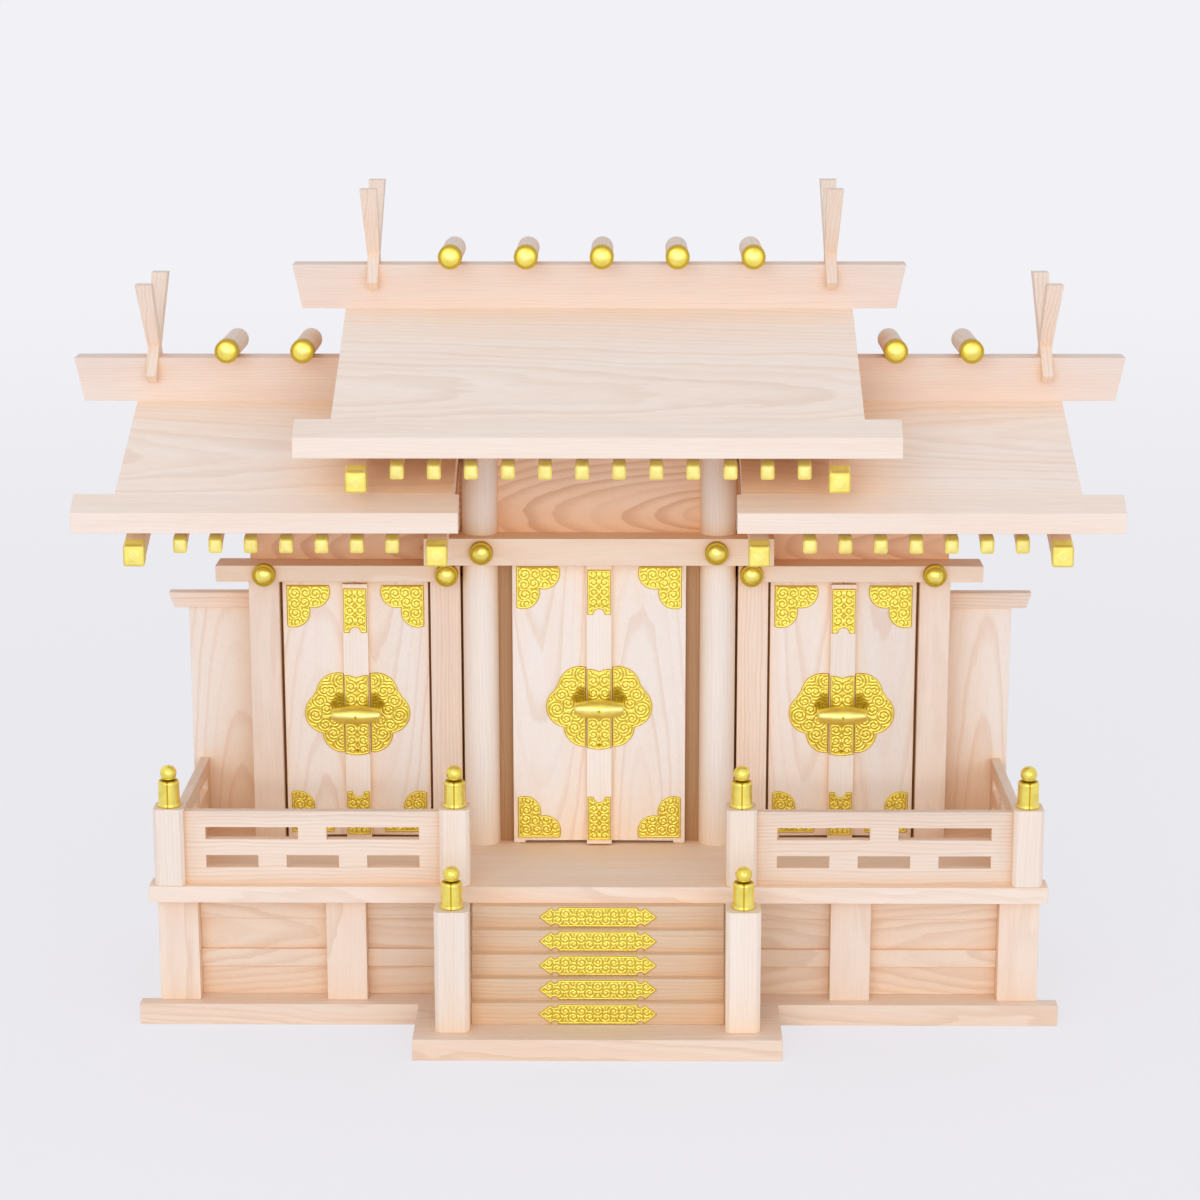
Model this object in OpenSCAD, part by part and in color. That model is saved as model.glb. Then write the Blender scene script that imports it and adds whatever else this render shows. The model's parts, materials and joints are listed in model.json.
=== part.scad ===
// Household shrine of plain timber: a wide base with a stair, a railed veranda,
// three cabinets with paired doors, and a tall centre roof between two lower ones.
// X runs left to right, the front faces -Y and Z is up.
// The origin is on the underside of the base board, at its middle.

/* [Base and stair] */
// Width of the base board
base_w = 506; // [490:1:530]
// Depth of the base board, front to back
base_d = 172; // [168:1:190]
// Depth of the wide front edge of the base board
base_lip_d = 9; // [8:0.5:16]
// Thickness of the base board and of the stair plate
board_t = 12; // [8:0.5:16]
// Side of the square posts under the veranda
base_post_w = 22; // [16:0.5:24]
// Height of the posts under the veranda
base_post_h = 60; // [50:1:75]
// Distance from the middle to the inner row of base posts
base_post_x = 138.7; // [125:0.1:160]
// Thickness of the skirt boards between the base posts
skirt_t = 3; // [2:0.5:5]
// Height of the skirt rails
skirt_rail_h = 10; // [6:0.5:16]
// Number of steps
step_count = 5; // [3:1:7]
// Depth of each tread
step_run = 5.2; // [4:0.1:7]
// Width of the stair plate
stair_plate_w = 198; // [190:1:230]
// Reach of the stair plate in front of the base board
stair_plate_d = 52.6; // [48:0.1:65]
// Length of the fitting on each step
step_fitting_w = 64; // [50:1:90]

/* [Veranda and railing] */
// Width of the veranda floor
floor_w = 490; // [484:1:520]
// Thickness of the veranda floor
floor_t = 9.3; // [7:0.1:14]
// Overhang of the floor in front of the base board
floor_nose = 4; // [2:0.5:8]
// Depth of the wide front edge of the floor behind that overhang
floor_lip_d = 11; // [8:0.5:16]
// Side of the railing posts
rail_post_w = 16.5; // [13:0.5:18]
// Height of the railing posts
rail_post_h = 43.4; // [43:0.1:60]
// Side of the stair posts
stair_post_w = 18.6; // [15:0.1:20]
// Height of the stair posts
stair_post_h = 68; // [50:1:90]
// Distance from the middle to the axis of the stair posts
stair_post_x = 78; // [76:0.1:84]
// Distance from the end of the floor to the axis of the corner posts
corner_post_inset = 11.5; // [9.5:0.1:16]
// Height of one rail of the railing
rail_h = 9; // [6:0.5:9]
// Height of the gap between two rails
rail_gap = 7; // [4:0.5:7]
// Thickness of the railing
rail_t = 5; // [4:0.5:8]
// Diameter of the finials at their foot
finial_d = 12.6; // [10:0.1:13]
// Height of the finials
finial_h = 22.8; // [20:0.1:32]
// Height of the side screens
screen_h = 130.5; // [100:0.5:140]

/* [Cabinets] */
// Distance from the base board's front edge to the axis of the centre pillars
veranda_d = 79.5; // [75:0.5:84]
// Diameter of the round centre pillars
pillar_d = 20; // [16:0.5:20]
// Distance from the middle to the axis of a centre pillar
pillar_x = 66.4; // [66:0.1:67]
// Side of the square pillars of the side cabinets
side_pillar_w = 17; // [14:0.5:17.5]
// Distance from the middle to the middle of a side cabinet's doors
side_door_x = 137.3; // [137:0.1:140]
// Clear width between the pillars of a side cabinet
side_bay_w = 85; // [78:0.5:86]
// Thickness of the walls
wall_t = 4; // [3:0.5:5]
// Depth from the base board's front edge to the back of the back wall
body_back = 158; // [150:1:160]
// Clear height under the centre lintel
centre_lintel_z = 164.6; // [150:0.1:175]
// Height of the centre lintel
centre_lintel_h = 15.3; // [12:0.1:18]
// Half length of the centre lintel
centre_lintel_x = 97; // [90:0.5:110]
// Clear height under the side lintels
side_lintel_z = 152.7; // [145:0.1:154]
// Height of the side lintels
side_lintel_h = 9.2; // [7:0.1:10]
// Reach of the side lintels past the outer pillars
side_lintel_over = 17.5; // [10:0.5:25]
// Depth of the lintels
lintel_d = 20; // [20:0.5:21]

/* [Doors] */
// Width of one leaf of the centre doors
centre_leaf_w = 48.4; // [44:0.1:52]
// Gap between a side leaf and its pillar
side_leaf_gap = 1.5; // [1.3:0.1:2]
// Thickness of the door leaves
leaf_t = 4; // [3:0.1:5]
// Gap between the leaves and the floor
leaf_foot = 1.7; // [1.2:0.1:2.5]
// Gap between two leaves where they meet
meeting_gap = 0.4; // [0.3:0.1:1]
// Width of the batten that covers the meeting edges
batten_w = 14; // [10:0.1:16]
// Thickness of the batten
batten_t = 4; // [3:0.1:5]
// Diameter of the wooden pivots of the leaves
pivot_d = 3; // [2.4:0.1:3.4]
// Radial clearance of the pivots in their sockets
pivot_fit = 0.15; // [0.1:0.05:0.3]
// Thickness of the brass plates
plate_t = 0.8; // [0.5:0.1:1]
// Leg of the corner plates
corner_plate = 24.4; // [18:0.1:26]

/* [Roofs] */
// Distance from the base board's front edge to the ridge line
ridge_d = 104; // [100:0.5:108]
// Pitch of the centre roof in degrees
centre_pitch = 24.8; // [23:0.1:26]
// Pitch of the side roofs in degrees
side_pitch = 23.3; // [22:0.1:24]
// Height of the underside of the centre eave boards
centre_eave_z = 320.3; // [319:0.1:330]
// Height of the underside of the side eave boards
side_eave_z = 277.4; // [270:0.1:278]
// Reach of the centre roof from its ridge to the face of its front eave
centre_front_reach = 119.6; // [115:0.1:122]
// Reach of the centre roof from its ridge to the face of its back eave
centre_back_reach = 90; // [86:0.5:100]
// Reach of the side roofs from their ridges to the face of their front eaves
side_front_reach = 106; // [102:0.1:110]
// Reach of the side roofs from their ridges to the face of their back eaves
side_back_reach = 82; // [80:0.5:90]
// Half width of the centre roof boards
centre_slab_x = 140.4; // [138:0.1:150]
// Distance from the middle to the outer edge of the side roof boards
side_slab_x = 258; // [256:0.1:270]
// Half length of the centre eave boards
centre_eave_x = 159.6; // [150:0.1:170]
// Distance from the middle to the outer end of the side eave boards
side_eave_x = 280; // [270:0.5:290]
// Distance from the middle to the inner end of the side eave boards
side_eave_in = 74; // [70:0.5:80]
// Thickness of the roof boards
slab_t = 10; // [8:0.5:12]
// Height of the face of the eave boards
eave_face_h = 11; // [8:0.1:12]
// Rise of the bevel on the eave boards
eave_bevel = 7.8; // [6:0.1:9]
// Depth of the eave boards
eave_t = 13.3; // [10:0.1:14]
// Thickness of the ceiling boards that lie on the rafters
ceiling_t = 3; // [2:0.1:4]
// Side of the rafters
rafter_w = 6.5; // [5:0.1:7]
// Thickness of the bargeboards
barge_t = 10.6; // [8:0.1:11]
// Height of the tip of the bargeboards
barge_tip_h = 10.5; // [9:0.1:13]

/* [Ridge] */
// Height of the ridge beams
ridge_h = 24.2; // [20:0.1:30]
// Thickness of the ridge beams
ridge_t = 16; // [13:0.5:18]
// Half length of the centre ridge beam along its top
centre_ridge_x = 169.6; // [162:0.1:180]
// Distance from the middle to the outer end of the side ridge beams
side_ridge_x = 292.5; // [285:0.1:300]
// Slant of the ends of the ridge beams
ridge_slant = 5; // [0:0.5:10]
// Diameter of the ridge logs
log_d = 12.3; // [10:0.1:14]
// Length of the ridge logs
log_l = 50; // [40:1:60]
// Distance between the centre ridge logs
centre_log_pitch = 41.5; // [36:0.5:44]
// Distance between the two logs of a side ridge
side_log_pitch = 41.7; // [36:0.5:46]
// Distance from the middle to the middle of the logs of a side ridge
side_log_x = 184.3; // [178:0.1:190]
// Height of the crossed finials above the ridge beams
chigi_h = 43.6; // [35:0.1:55]
// Lean of the crossed finials from the vertical, in degrees
chigi_lean = 38; // [30:1:42]
// Width of the crossed finials at the top
chigi_top_w = 9.4; // [8:0.1:14]
// Width of the crossed finials at the foot
chigi_foot_w = 5.5; // [4:0.5:8]
// Thickness of the crossed finials
chigi_t = 7; // [5:0.5:9]
// Distance from the middle to the crossed finials of the centre ridge
centre_chigi_x = 126.5; // [120:0.5:135]
// Distance from the middle to the crossed finials of the side ridges
side_chigi_x = 248.6; // [240:0.5:260]
// How far the rafters, centre logs and centre crossed finials stand to one side
trim_shift = 1.6; // [-2:0.1:2]

/* [Hidden] */
$fn = 48;

// Small allowances
eps = 0.01;
cut = 1;

// Depths, from the front edge of the base board
front_y = -base_d / 2;
back_y = base_d / 2;
ridge_y = front_y + ridge_d;
pillar_y = front_y + veranda_d;
pillar_r = pillar_d / 2;
body_back_y = front_y + body_back;

// Heights
post_foot = board_t;
floor_z = board_t + base_post_h;
floor_top = floor_z + floor_t;
step_rise = base_post_h / step_count;

// Base posts
base_post_setback = 6.6;
base_post_inset = 3;
base_corner_x = floor_w / 2 - base_post_w / 2 - base_post_inset;
base_side_x = base_corner_x + base_post_w / 2;
base_front_y = front_y + base_post_setback + base_post_w / 2;
base_back_y = back_y - base_post_setback - base_post_w / 2;
skirt_setback = 10;
skirt_y = front_y + base_post_setback + skirt_setback;
skirt_rail_proud = 2.5;
skirt_mid_z = 17;
skirt_top_h = 15;

// Stair
stair_post_setback = 9.6;
stair_post_y = front_y - stair_plate_d + stair_post_setback + stair_post_w / 2;
stair_side_gap = 0.3;
stair_lap = 0.2;
stair_back_gap = 1.6;
step_point = 7;
step_notch = 1.8;
step_half = stair_post_x - stair_post_w / 2 - stair_side_gap;
stair_front_y = front_y - floor_nose - step_run * step_count + stair_lap;
stair_back_y = front_y + base_post_setback - stair_back_gap;

// Railing
rail_post_setback = 0.3;
corner_post_x = floor_w / 2 - corner_post_inset;
rail_post_y = front_y - floor_nose + rail_post_setback + rail_post_w / 2;
rail_inner_x = stair_post_x + rail_post_w / 2;
rail_outer_x = corner_post_x - rail_post_w / 2;
railing_h = 3 * rail_h + 2 * rail_gap;
rail_end = 11.2;
rail_strut = 15.4;
side_rail_strut = 10;
side_rail_inset = 0.6;

// Side cabinets
side_setback = 9;
side_pillar_y = pillar_y + side_setback;
side_pillar_in = side_door_x - side_bay_w / 2 - side_pillar_w / 2;
side_pillar_out = side_door_x + side_bay_w / 2 + side_pillar_w / 2;
side_wall_x = side_pillar_out;
centre_wall_out = pillar_x + wall_t / 2;
wall_lap = 0.3;
screen_setback = 11;
screen_y = side_pillar_y + side_pillar_w / 2 + screen_setback;
screen_lap = 1.4;
screen_out = corner_post_x + screen_lap;
screen_t = 3;
screen_cap_h = 8.8;
screen_cap_t = 8;
screen_cap_over = 11;
screen_cap_flare = 3;

// Lintels
centre_lintel_proud = 7.5;
side_lintel_proud = 6;
centre_lintel_y = pillar_y - pillar_r - centre_lintel_proud;
centre_lintel_low = floor_top + centre_lintel_z;
centre_lintel_top = centre_lintel_low + centre_lintel_h;
side_lintel_y = side_pillar_y - side_pillar_w / 2 - side_lintel_proud;
side_lintel_low = floor_top + side_lintel_z;
side_lintel_top = side_lintel_low + side_lintel_h;
side_lintel_in = side_pillar_in - side_pillar_w / 2;
side_lintel_out = side_pillar_out + side_pillar_w / 2 + side_lintel_over;
lintel_cap_d = 12.8;
lintel_cap_l = 6;
lintel_cap_in = 1.3;

// Doors
centre_leaf_setback = 5.5;
side_leaf_setback = 4.5;
centre_leaf_y = pillar_y - centre_leaf_setback;
side_leaf_y = side_pillar_y - side_leaf_setback;
side_leaf_w = (side_bay_w - meeting_gap) / 2 - side_leaf_gap;
centre_head = 0.9;
side_head = 2.1;
leaf_low = floor_top + leaf_foot;
centre_leaf_h = centre_lintel_low - centre_head - leaf_low;
side_leaf_h = side_lintel_low - side_head - leaf_low;
socket_depth = 3;
socket_gap = 0.5;
pivot_inset = 2;
ear_w = 6.5;
ear_gap = 0.4;
stop_gap = 1.5;
stop_lap = 4.4;
door_wall_t = 3;
batten_relief = 0.3;
batten_foot = 0.7;
plate_inset = 2.4;
plate_rise = 2;
plate_gap = 0.4;
batten_plate_w = 13;
batten_plate_h = 25.5;
batten_plate_top = 2.4;
centre_lock_z = 80.2;
side_lock_z = 73.8;
lock_half_w = 29.9;
lock_bar_l = 28;
lock_bar_d = 9.6;
lock_bar_end_d = 6;
lock_bar_sunk = 0.5;

// Roofs
slab_lip = eave_face_h + eave_bevel;
centre_slope = tan(centre_pitch);
side_slope = tan(side_pitch);
centre_peak = centre_eave_z + slab_lip + (centre_front_reach - eave_t) * centre_slope;
side_peak = side_eave_z + slab_lip + (side_front_reach - eave_t) * side_slope;
centre_back_eave_z = centre_peak - slab_lip - (centre_back_reach - eave_t) * centre_slope;
side_back_eave_z = side_peak - slab_lip - (side_back_reach - eave_t) * side_slope;
rafter_drop = 26;
rafter_tip = 15.6;
ceiling_edge = 26;
barge_tip = 9.6;
barge_step = 14;
centre_barge_inset = 7.6;
side_barge_inset = 4.4;
centre_barge_x = centre_slab_x - centre_barge_inset - barge_t / 2;
side_barge_out = side_slab_x - side_barge_inset - barge_t / 2;
side_barge_in = side_pillar_in;
pillar_gap = 0.6;
side_slab_in = pillar_x + pillar_r + pillar_gap;
rafter_end_gap = 3;
rafter_end_y = pillar_y - pillar_r - rafter_end_gap;
centre_rafter_pitch = 19.6;
centre_rafter_pairs = 6;
side_rafter_pitch = 19;
side_rafter_count = 7;
side_rafter_mid = 169;
cap_wall = 0.4;
cap_front = 0.8;
rafter_cap_l = 3;
barge_cap_l = 5;
side_ridge_gap = 1;
side_ridge_in = centre_barge_x + barge_t / 2 + side_ridge_gap;

// Ridge
centre_ridge_top = centre_peak - ridge_t / 2 * centre_slope + ridge_h;
side_ridge_top = side_peak - ridge_t / 2 * side_slope + ridge_h;
log_r = log_d / 2;
log_flat = 0.2;
log_cap_l = 7;
log_cap_wall = 0.4;
log_cap_dome = 1.4;
chigi_cross = 6;
chigi_tail = 22;

wood = "burlywood";
pale = "wheat";
brass = "gold";

// Heights of the planes of one roof at a run u from its ridge
function slab_top(peak, slope, u) = peak - u * slope;
function slab_low(peak, slope, pitch, u) = peak - u * slope - slab_t / cos(pitch);
function rafter_top(peak, slope, u) = peak - rafter_drop - u * slope;
function barge_low(peak, slope, u) = rafter_top(peak, slope, u) - barge_tip_h;

// Extrudes a profile drawn as (y, z) along X
module along_x(x0, x1) translate([x0, 0, 0]) rotate([90, 0, 90]) linear_extrude(x1 - x0) children();
// Extrudes a profile drawn as (x, z) forward from the plane y
module forward(y, t) translate([0, y, 0]) rotate([90, 0, 0]) linear_extrude(t) children();
// Places a shape whose own +Y is the run out from the ridge on the front slope
module front_slope() translate([0, ridge_y, 0]) mirror([0, 1, 0]) children();
// The same on the back slope
module back_slope() translate([0, ridge_y, 0]) children();
// Draws the children on both sides of the middle
module both_sides() {
    children();
    mirror([1, 0, 0]) children();
}
module block(x0, x1, y0, y1, z0, z1) translate([x0, y0, z0]) cube([x1 - x0, y1 - y0, z1 - z0]);

// Base

// Plan of a board with a wide front edge, narrowed behind it to the faces of the corner posts
module lipped_board(half, y0, lip_y) polygon([
    [-half, y0], [half, y0], [half, lip_y], [base_side_x, lip_y], [base_side_x, back_y],
    [-base_side_x, back_y], [-base_side_x, lip_y], [-half, lip_y]
]);

module base_board() color(pale) linear_extrude(board_t)
    lipped_board(base_w / 2, front_y, front_y + base_lip_d);

module stair_plate() color(pale)
    block(-stair_plate_w / 2, stair_plate_w / 2, front_y - stair_plate_d, front_y, 0, board_t);

module post_box(x, y, w, z0, z1) block(x - w / 2, x + w / 2, y - w / 2, y + w / 2, z0, z1);

module base_posts() color(wood) both_sides()
    for (x = [base_post_x, base_corner_x], y = [base_front_y, base_back_y])
        post_box(x, y, base_post_w, post_foot, floor_z);

module skirt_bay(x0, x1) {
    block(x0, x1, skirt_y, skirt_y + skirt_t, post_foot, floor_z);
    for (rail = [[skirt_mid_z, skirt_rail_h], [base_post_h - skirt_top_h, skirt_top_h]])
        block(x0, x1, skirt_y - skirt_rail_proud, skirt_y + skirt_t,
              post_foot + rail[0], post_foot + rail[0] + rail[1]);
}

module front_skirts() color(wood) {
    gap = base_post_w / 2;
    both_sides() skirt_bay(base_post_x + gap, base_corner_x - gap);
    skirt_bay(-base_post_x + gap, base_post_x - gap);
}

module rear_skirts() color(wood) {
    gap = base_post_w / 2;
    y = base_back_y;
    both_sides() {
        block(base_corner_x, base_corner_x + skirt_t, base_front_y + gap, y - gap, post_foot, floor_z);
        block(base_post_x + gap, base_corner_x - gap, y, y + skirt_t, post_foot, floor_z);
    }
    block(-base_post_x + gap, base_post_x - gap, y, y + skirt_t, post_foot, floor_z);
}

module pivot_sockets(z) {
    r = pivot_d / 2 + pivot_fit;
    both_sides() {
        translate([centre_leaf_w + meeting_gap / 2 - pivot_inset, centre_leaf_y + leaf_t / 2, z])
            cylinder(h = socket_depth + cut, r = r);
        for (s = [-1, 1])
            translate([side_door_x + s * (side_leaf_w + meeting_gap / 2 - pivot_inset),
                       side_leaf_y + leaf_t / 2, z])
                cylinder(h = socket_depth + cut, r = r);
    }
}

module veranda_floor() color(pale) difference() {
    translate([0, 0, floor_z]) linear_extrude(floor_t)
        lipped_board(floor_w / 2, front_y - floor_nose, front_y + floor_lip_d);
    pivot_sockets(floor_top - socket_depth);
}

// Stair

function step_face(k) = stair_front_y + k * step_run;

module stair_steps() color(wood)
    for (k = [0 : step_count - 1])
        block(-step_half, step_half, step_face(k), stair_back_y,
              board_t + k * step_rise, board_t + (k + 1) * step_rise);

// Long plate with a necked, pointed end on each side
module step_plate() {
    half = step_fitting_w / 2;
    tall = step_rise * 0.46;
    shoulder = half - step_point;
    difference() {
        polygon([[-half, 0], [-shoulder, tall], [shoulder, tall],
                 [half, 0], [shoulder, -tall], [-shoulder, -tall]]);
        for (sx = [-1, 1], sy = [-1, 1])
            translate([sx * (shoulder - step_notch), sy * tall]) circle(step_notch);
    }
}

module step_fittings() color(brass)
    for (k = [0 : step_count - 1])
        translate([0, 0, board_t + (k + 0.5) * step_rise]) forward(step_face(k), plate_t) step_plate();

// Posts, finials and railings

module chamfered_post(w, h) {
    a = w / 2;
    b = w / 2 - w * 0.12;
    linear_extrude(h) polygon([[a, b], [b, a], [-b, a], [-a, b], [-a, -b], [-b, -a], [b, -a], [a, -b]]);
}

module stair_posts() color(pale) both_sides()
    translate([stair_post_x, stair_post_y, board_t]) chamfered_post(stair_post_w, stair_post_h);

module railing_posts() color(pale) both_sides()
    for (x = [stair_post_x, corner_post_x])
        translate([x, rail_post_y, floor_top]) chamfered_post(rail_post_w, rail_post_h);

// Onion finial: a tapered sleeve, a waist with a bead and a ball with a small tip
module finial() {
    r = finial_d / 2;
    ball = r * 0.66;
    sleeve = finial_h * 0.58;
    ball_z = finial_h - ball * 1.06;
    rotate_extrude() polygon(concat(
        [[0, 0], [r, 0], [r, finial_h * 0.05], [r * 0.94, finial_h * 0.07], [r * 0.9, sleeve]],
        [for (a = [20 : 20 : 80]) [r * 0.62 + r * 0.28 * cos(a), sleeve + r * 0.2 * sin(a)]],
        [[r * 0.5, sleeve + r * 0.22], [r * 0.46, ball_z - ball * 0.86], [r * 0.62, ball_z - ball * 0.8]],
        [for (a = [-50 : 10 : 70]) [ball * cos(a), ball_z + ball * sin(a)]],
        [[ball * 0.12, ball_z + ball * 1.02], [0, finial_h]]
    ));
}

module post_finials() color(brass) both_sides() {
    translate([stair_post_x, stair_post_y, board_t + stair_post_h]) finial();
    for (x = [stair_post_x, corner_post_x])
        translate([x, rail_post_y, floor_top + rail_post_h]) finial();
}

// Three rails joined by end blocks and staggered struts, drawn from its lower left corner
module railing(length, strut) {
    low_w = (length - 2 * rail_end - 2 * strut) / 3;
    high_w = (length - 2 * rail_end - strut) / 2;
    linear_extrude(rail_t) difference() {
        square([length, railing_h]);
        for (k = [0 : 2])
            translate([rail_end + k * (low_w + strut), rail_h]) square([low_w, rail_gap]);
        for (k = [0 : 1])
            translate([rail_end + k * (high_w + strut), 2 * rail_h + rail_gap])
                square([high_w, rail_gap]);
    }
}

module front_railing() color(pale)
    translate([rail_inner_x, rail_post_y + rail_t / 2, floor_top]) rotate([90, 0, 0])
        railing(rail_outer_x - rail_inner_x, rail_strut);

module side_railing() {
    y0 = rail_post_y + rail_post_w / 2;
    color(pale) translate([rail_outer_x + side_rail_inset, y0, floor_top]) rotate([90, 0, 90])
        railing(screen_y - y0, side_rail_strut);
}

module front_railing_right() front_railing();
module front_railing_left() mirror([1, 0, 0]) front_railing();
module side_railing_right() side_railing();
module side_railing_left() mirror([1, 0, 0]) side_railing();

// Side screens: a thin board under a cap that flares to its top
module side_screens() color(wood) both_sides()
    block(side_wall_x + wall_t / 2, screen_out, screen_y, screen_y + screen_t,
          floor_top, floor_top + screen_h);

module screen_caps() color(wood) both_sides() {
    x0 = side_wall_x + wall_t / 2;
    x1 = screen_out + screen_cap_over;
    z1 = floor_top + screen_h;
    forward(screen_y + screen_t / 2 + screen_cap_t / 2, screen_cap_t)
        polygon([[x0, z1], [x1 - screen_cap_flare, z1], [x1, z1 + screen_cap_h], [x0, z1 + screen_cap_h]]);
}

// Pillars and lintels

centre_pillar_top = rafter_top(centre_peak, centre_slope, ridge_y - pillar_y + pillar_r);

module centre_pillar_shafts(r) both_sides()
    translate([pillar_x, pillar_y, floor_top]) cylinder(h = centre_pillar_top - floor_top, r = r);

module side_pillar_shafts() both_sides()
    for (x = [side_pillar_in, side_pillar_out])
        post_box(x, side_pillar_y, side_pillar_w, floor_top, side_lintel_low);

module centre_pillars() color(pale) centre_pillar_shafts(pillar_r);

module side_pillars() color(pale) side_pillar_shafts();

module lintel_sockets(low) translate([0, 0, low - cut]) pivot_sockets(0);

module centre_lintel() color(pale) difference() {
    block(-centre_lintel_x, centre_lintel_x, centre_lintel_y, centre_lintel_y + lintel_d,
          centre_lintel_low, centre_lintel_top);
    centre_pillar_shafts(pillar_r + eps);
    lintel_sockets(centre_lintel_low);
}

module side_lintels() color(pale) difference() {
    both_sides() block(side_lintel_in, side_lintel_out, side_lintel_y, side_lintel_y + lintel_d,
                       side_lintel_low, side_lintel_top);
    lintel_sockets(side_lintel_low);
}

// Short round cap with a domed face, its axis along -Y and its back at y = 0
module round_cap(r, l) rotate([90, 0, 0]) rotate_extrude() polygon(concat(
    [[0, 0], [r, 0], [r, l * 0.7]],
    [for (a = [15 : 15 : 75]) [r * (0.55 + 0.45 * cos(a)), l * (0.7 + 0.22 * sin(a))]],
    [[r * 0.5, l * 0.94], [0, l]]
));

module lintel_caps() color(brass) both_sides() {
    r = lintel_cap_d / 2;
    translate([pillar_x - lintel_cap_in, centre_lintel_y, centre_lintel_low + centre_lintel_h / 2])
        round_cap(r, lintel_cap_l);
    for (x = [side_pillar_in, side_pillar_out])
        translate([x - lintel_cap_in, side_lintel_y, side_lintel_top - r * 0.75])
            round_cap(r, lintel_cap_l);
}

// Walls

module gable_profile(y0, y1, peak, slope) polygon([
    [y0, floor_top], [y0, rafter_top(peak, slope, abs(ridge_y - y0))],
    [ridge_y, rafter_top(peak, slope, 0)],
    [y1, rafter_top(peak, slope, abs(y1 - ridge_y))], [y1, floor_top]
]);

module friezes() color("tan") {
    y0 = pillar_y;
    difference() {
        block(-pillar_x, pillar_x, y0, y0 + wall_t, centre_lintel_top, centre_pillar_top);
        centre_pillar_shafts(pillar_r + eps);
    }
    y1 = side_lintel_y + lintel_d - door_wall_t;
    top = rafter_top(side_peak, side_slope, ridge_y - y1);
    both_sides() block(centre_wall_out, side_pillar_out + side_pillar_w / 2,
                       y1, y1 + door_wall_t, side_lintel_top, top);
}

// Thin walls beside and over the doorways, which the closed leaves rest against
centre_wall_y = centre_leaf_y + leaf_t + stop_gap;
side_wall_y = side_leaf_y + leaf_t + stop_gap;
centre_way = centre_leaf_w + meeting_gap / 2 - stop_lap;
side_way = side_leaf_w + meeting_gap / 2 - stop_lap;

module door_jambs() color("tan") difference() {
    both_sides() {
        block(centre_way, pillar_x, centre_wall_y, centre_wall_y + door_wall_t,
              floor_top, centre_lintel_low);
        block(centre_wall_out, side_door_x - side_way, side_wall_y, side_wall_y + door_wall_t,
              floor_top, side_lintel_low);
        block(side_door_x + side_way, side_pillar_out, side_wall_y, side_wall_y + door_wall_t,
              floor_top, side_lintel_low);
    }
    centre_pillar_shafts(pillar_r + eps);
    side_pillar_shafts();
}

module door_heads() color("tan") {
    block(-centre_way, centre_way, centre_wall_y, centre_wall_y + door_wall_t,
          leaf_low + centre_leaf_h - stop_lap, centre_lintel_low);
    both_sides() block(side_door_x - side_way, side_door_x + side_way,
                       side_wall_y, side_wall_y + door_wall_t,
                       leaf_low + side_leaf_h - stop_lap, side_lintel_low);
}

module side_walls() color(wood) difference() {
    both_sides() {
        along_x(pillar_x - wall_t / 2, pillar_x + wall_t / 2)
            gable_profile(pillar_y + pillar_r - wall_lap, body_back_y - wall_t, centre_peak, centre_slope);
        along_x(side_wall_x - wall_t / 2, side_wall_x + wall_t / 2)
            gable_profile(side_pillar_y + side_pillar_w / 2, body_back_y - wall_t, side_peak, side_slope);
    }
    centre_pillar_shafts(pillar_r + eps);
}

module back_wall() color(wood) {
    u = body_back_y - ridge_y;
    high = rafter_top(centre_peak, centre_slope, u);
    low = rafter_top(side_peak, side_slope, u);
    x0 = centre_wall_out;
    x1 = side_wall_x + wall_t / 2;
    forward(body_back_y, wall_t) polygon([
        [-x1, floor_top], [x1, floor_top], [x1, low], [x0, low], [x0, high],
        [-x0, high], [-x0, low], [-x1, low]
    ]);
}

// Roof timbers

// Clears the centre pillars out of a side roof
module pillar_notch()
    block(0, side_slab_in, front_y - centre_front_reach, pillar_y + pillar_r + pillar_gap, 0, centre_peak);

// Ceiling board bent over the ridge, from its front edge to its back edge
module ceiling_profile(peak, slope, pitch, front_run, back_run) {
    t = ceiling_t / cos(pitch);
    z = rafter_top(peak, slope, 0);
    polygon([
        [ridge_y - front_run, z - front_run * slope], [ridge_y - front_run, z + t - front_run * slope],
        [ridge_y, z + t],
        [ridge_y + back_run, z + t - back_run * slope], [ridge_y + back_run, z - back_run * slope],
        [ridge_y, z]
    ]);
}

module side_ceilings() both_sides() difference() {
    along_x(centre_wall_out, side_barge_out - barge_t / 2)
        ceiling_profile(side_peak, side_slope, side_pitch,
                        side_front_reach - ceiling_edge, side_back_reach - ceiling_edge);
    pillar_notch();
}

module roof_ceilings() color(wood) {
    along_x(-centre_barge_x + barge_t / 2, centre_barge_x - barge_t / 2)
        ceiling_profile(centre_peak, centre_slope, centre_pitch,
                        centre_front_reach - ceiling_edge, centre_back_reach - ceiling_edge);
    side_ceilings();
}

// One rafter on a slope: u0 and u1 are its runs at the inner end and at the tip
module rafter(x, u0, u1, peak, slope, pitch, extra = 0) {
    drop = rafter_w / cos(pitch) + extra;
    z0 = rafter_top(peak, slope, u0) + extra;
    z1 = rafter_top(peak, slope, u1) + extra;
    along_x(x - rafter_w / 2 - extra, x + rafter_w / 2 + extra)
        polygon([[u0, z0], [u1, z1], [u1, z1 - drop - extra], [u0, z0 - drop - extra]]);
}

function centre_rafter_xs() =
    [for (k = [0 : 2 * centre_rafter_pairs - 1])
        (k - centre_rafter_pairs + 0.5) * centre_rafter_pitch + trim_shift];
function side_rafter_xs() =
    [for (k = [0 : side_rafter_count - 1])
        side_rafter_mid + (k - (side_rafter_count - 1) / 2) * side_rafter_pitch];

rafter_root = ridge_y - rafter_end_y;
back_root = body_back_y - ridge_y;

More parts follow.
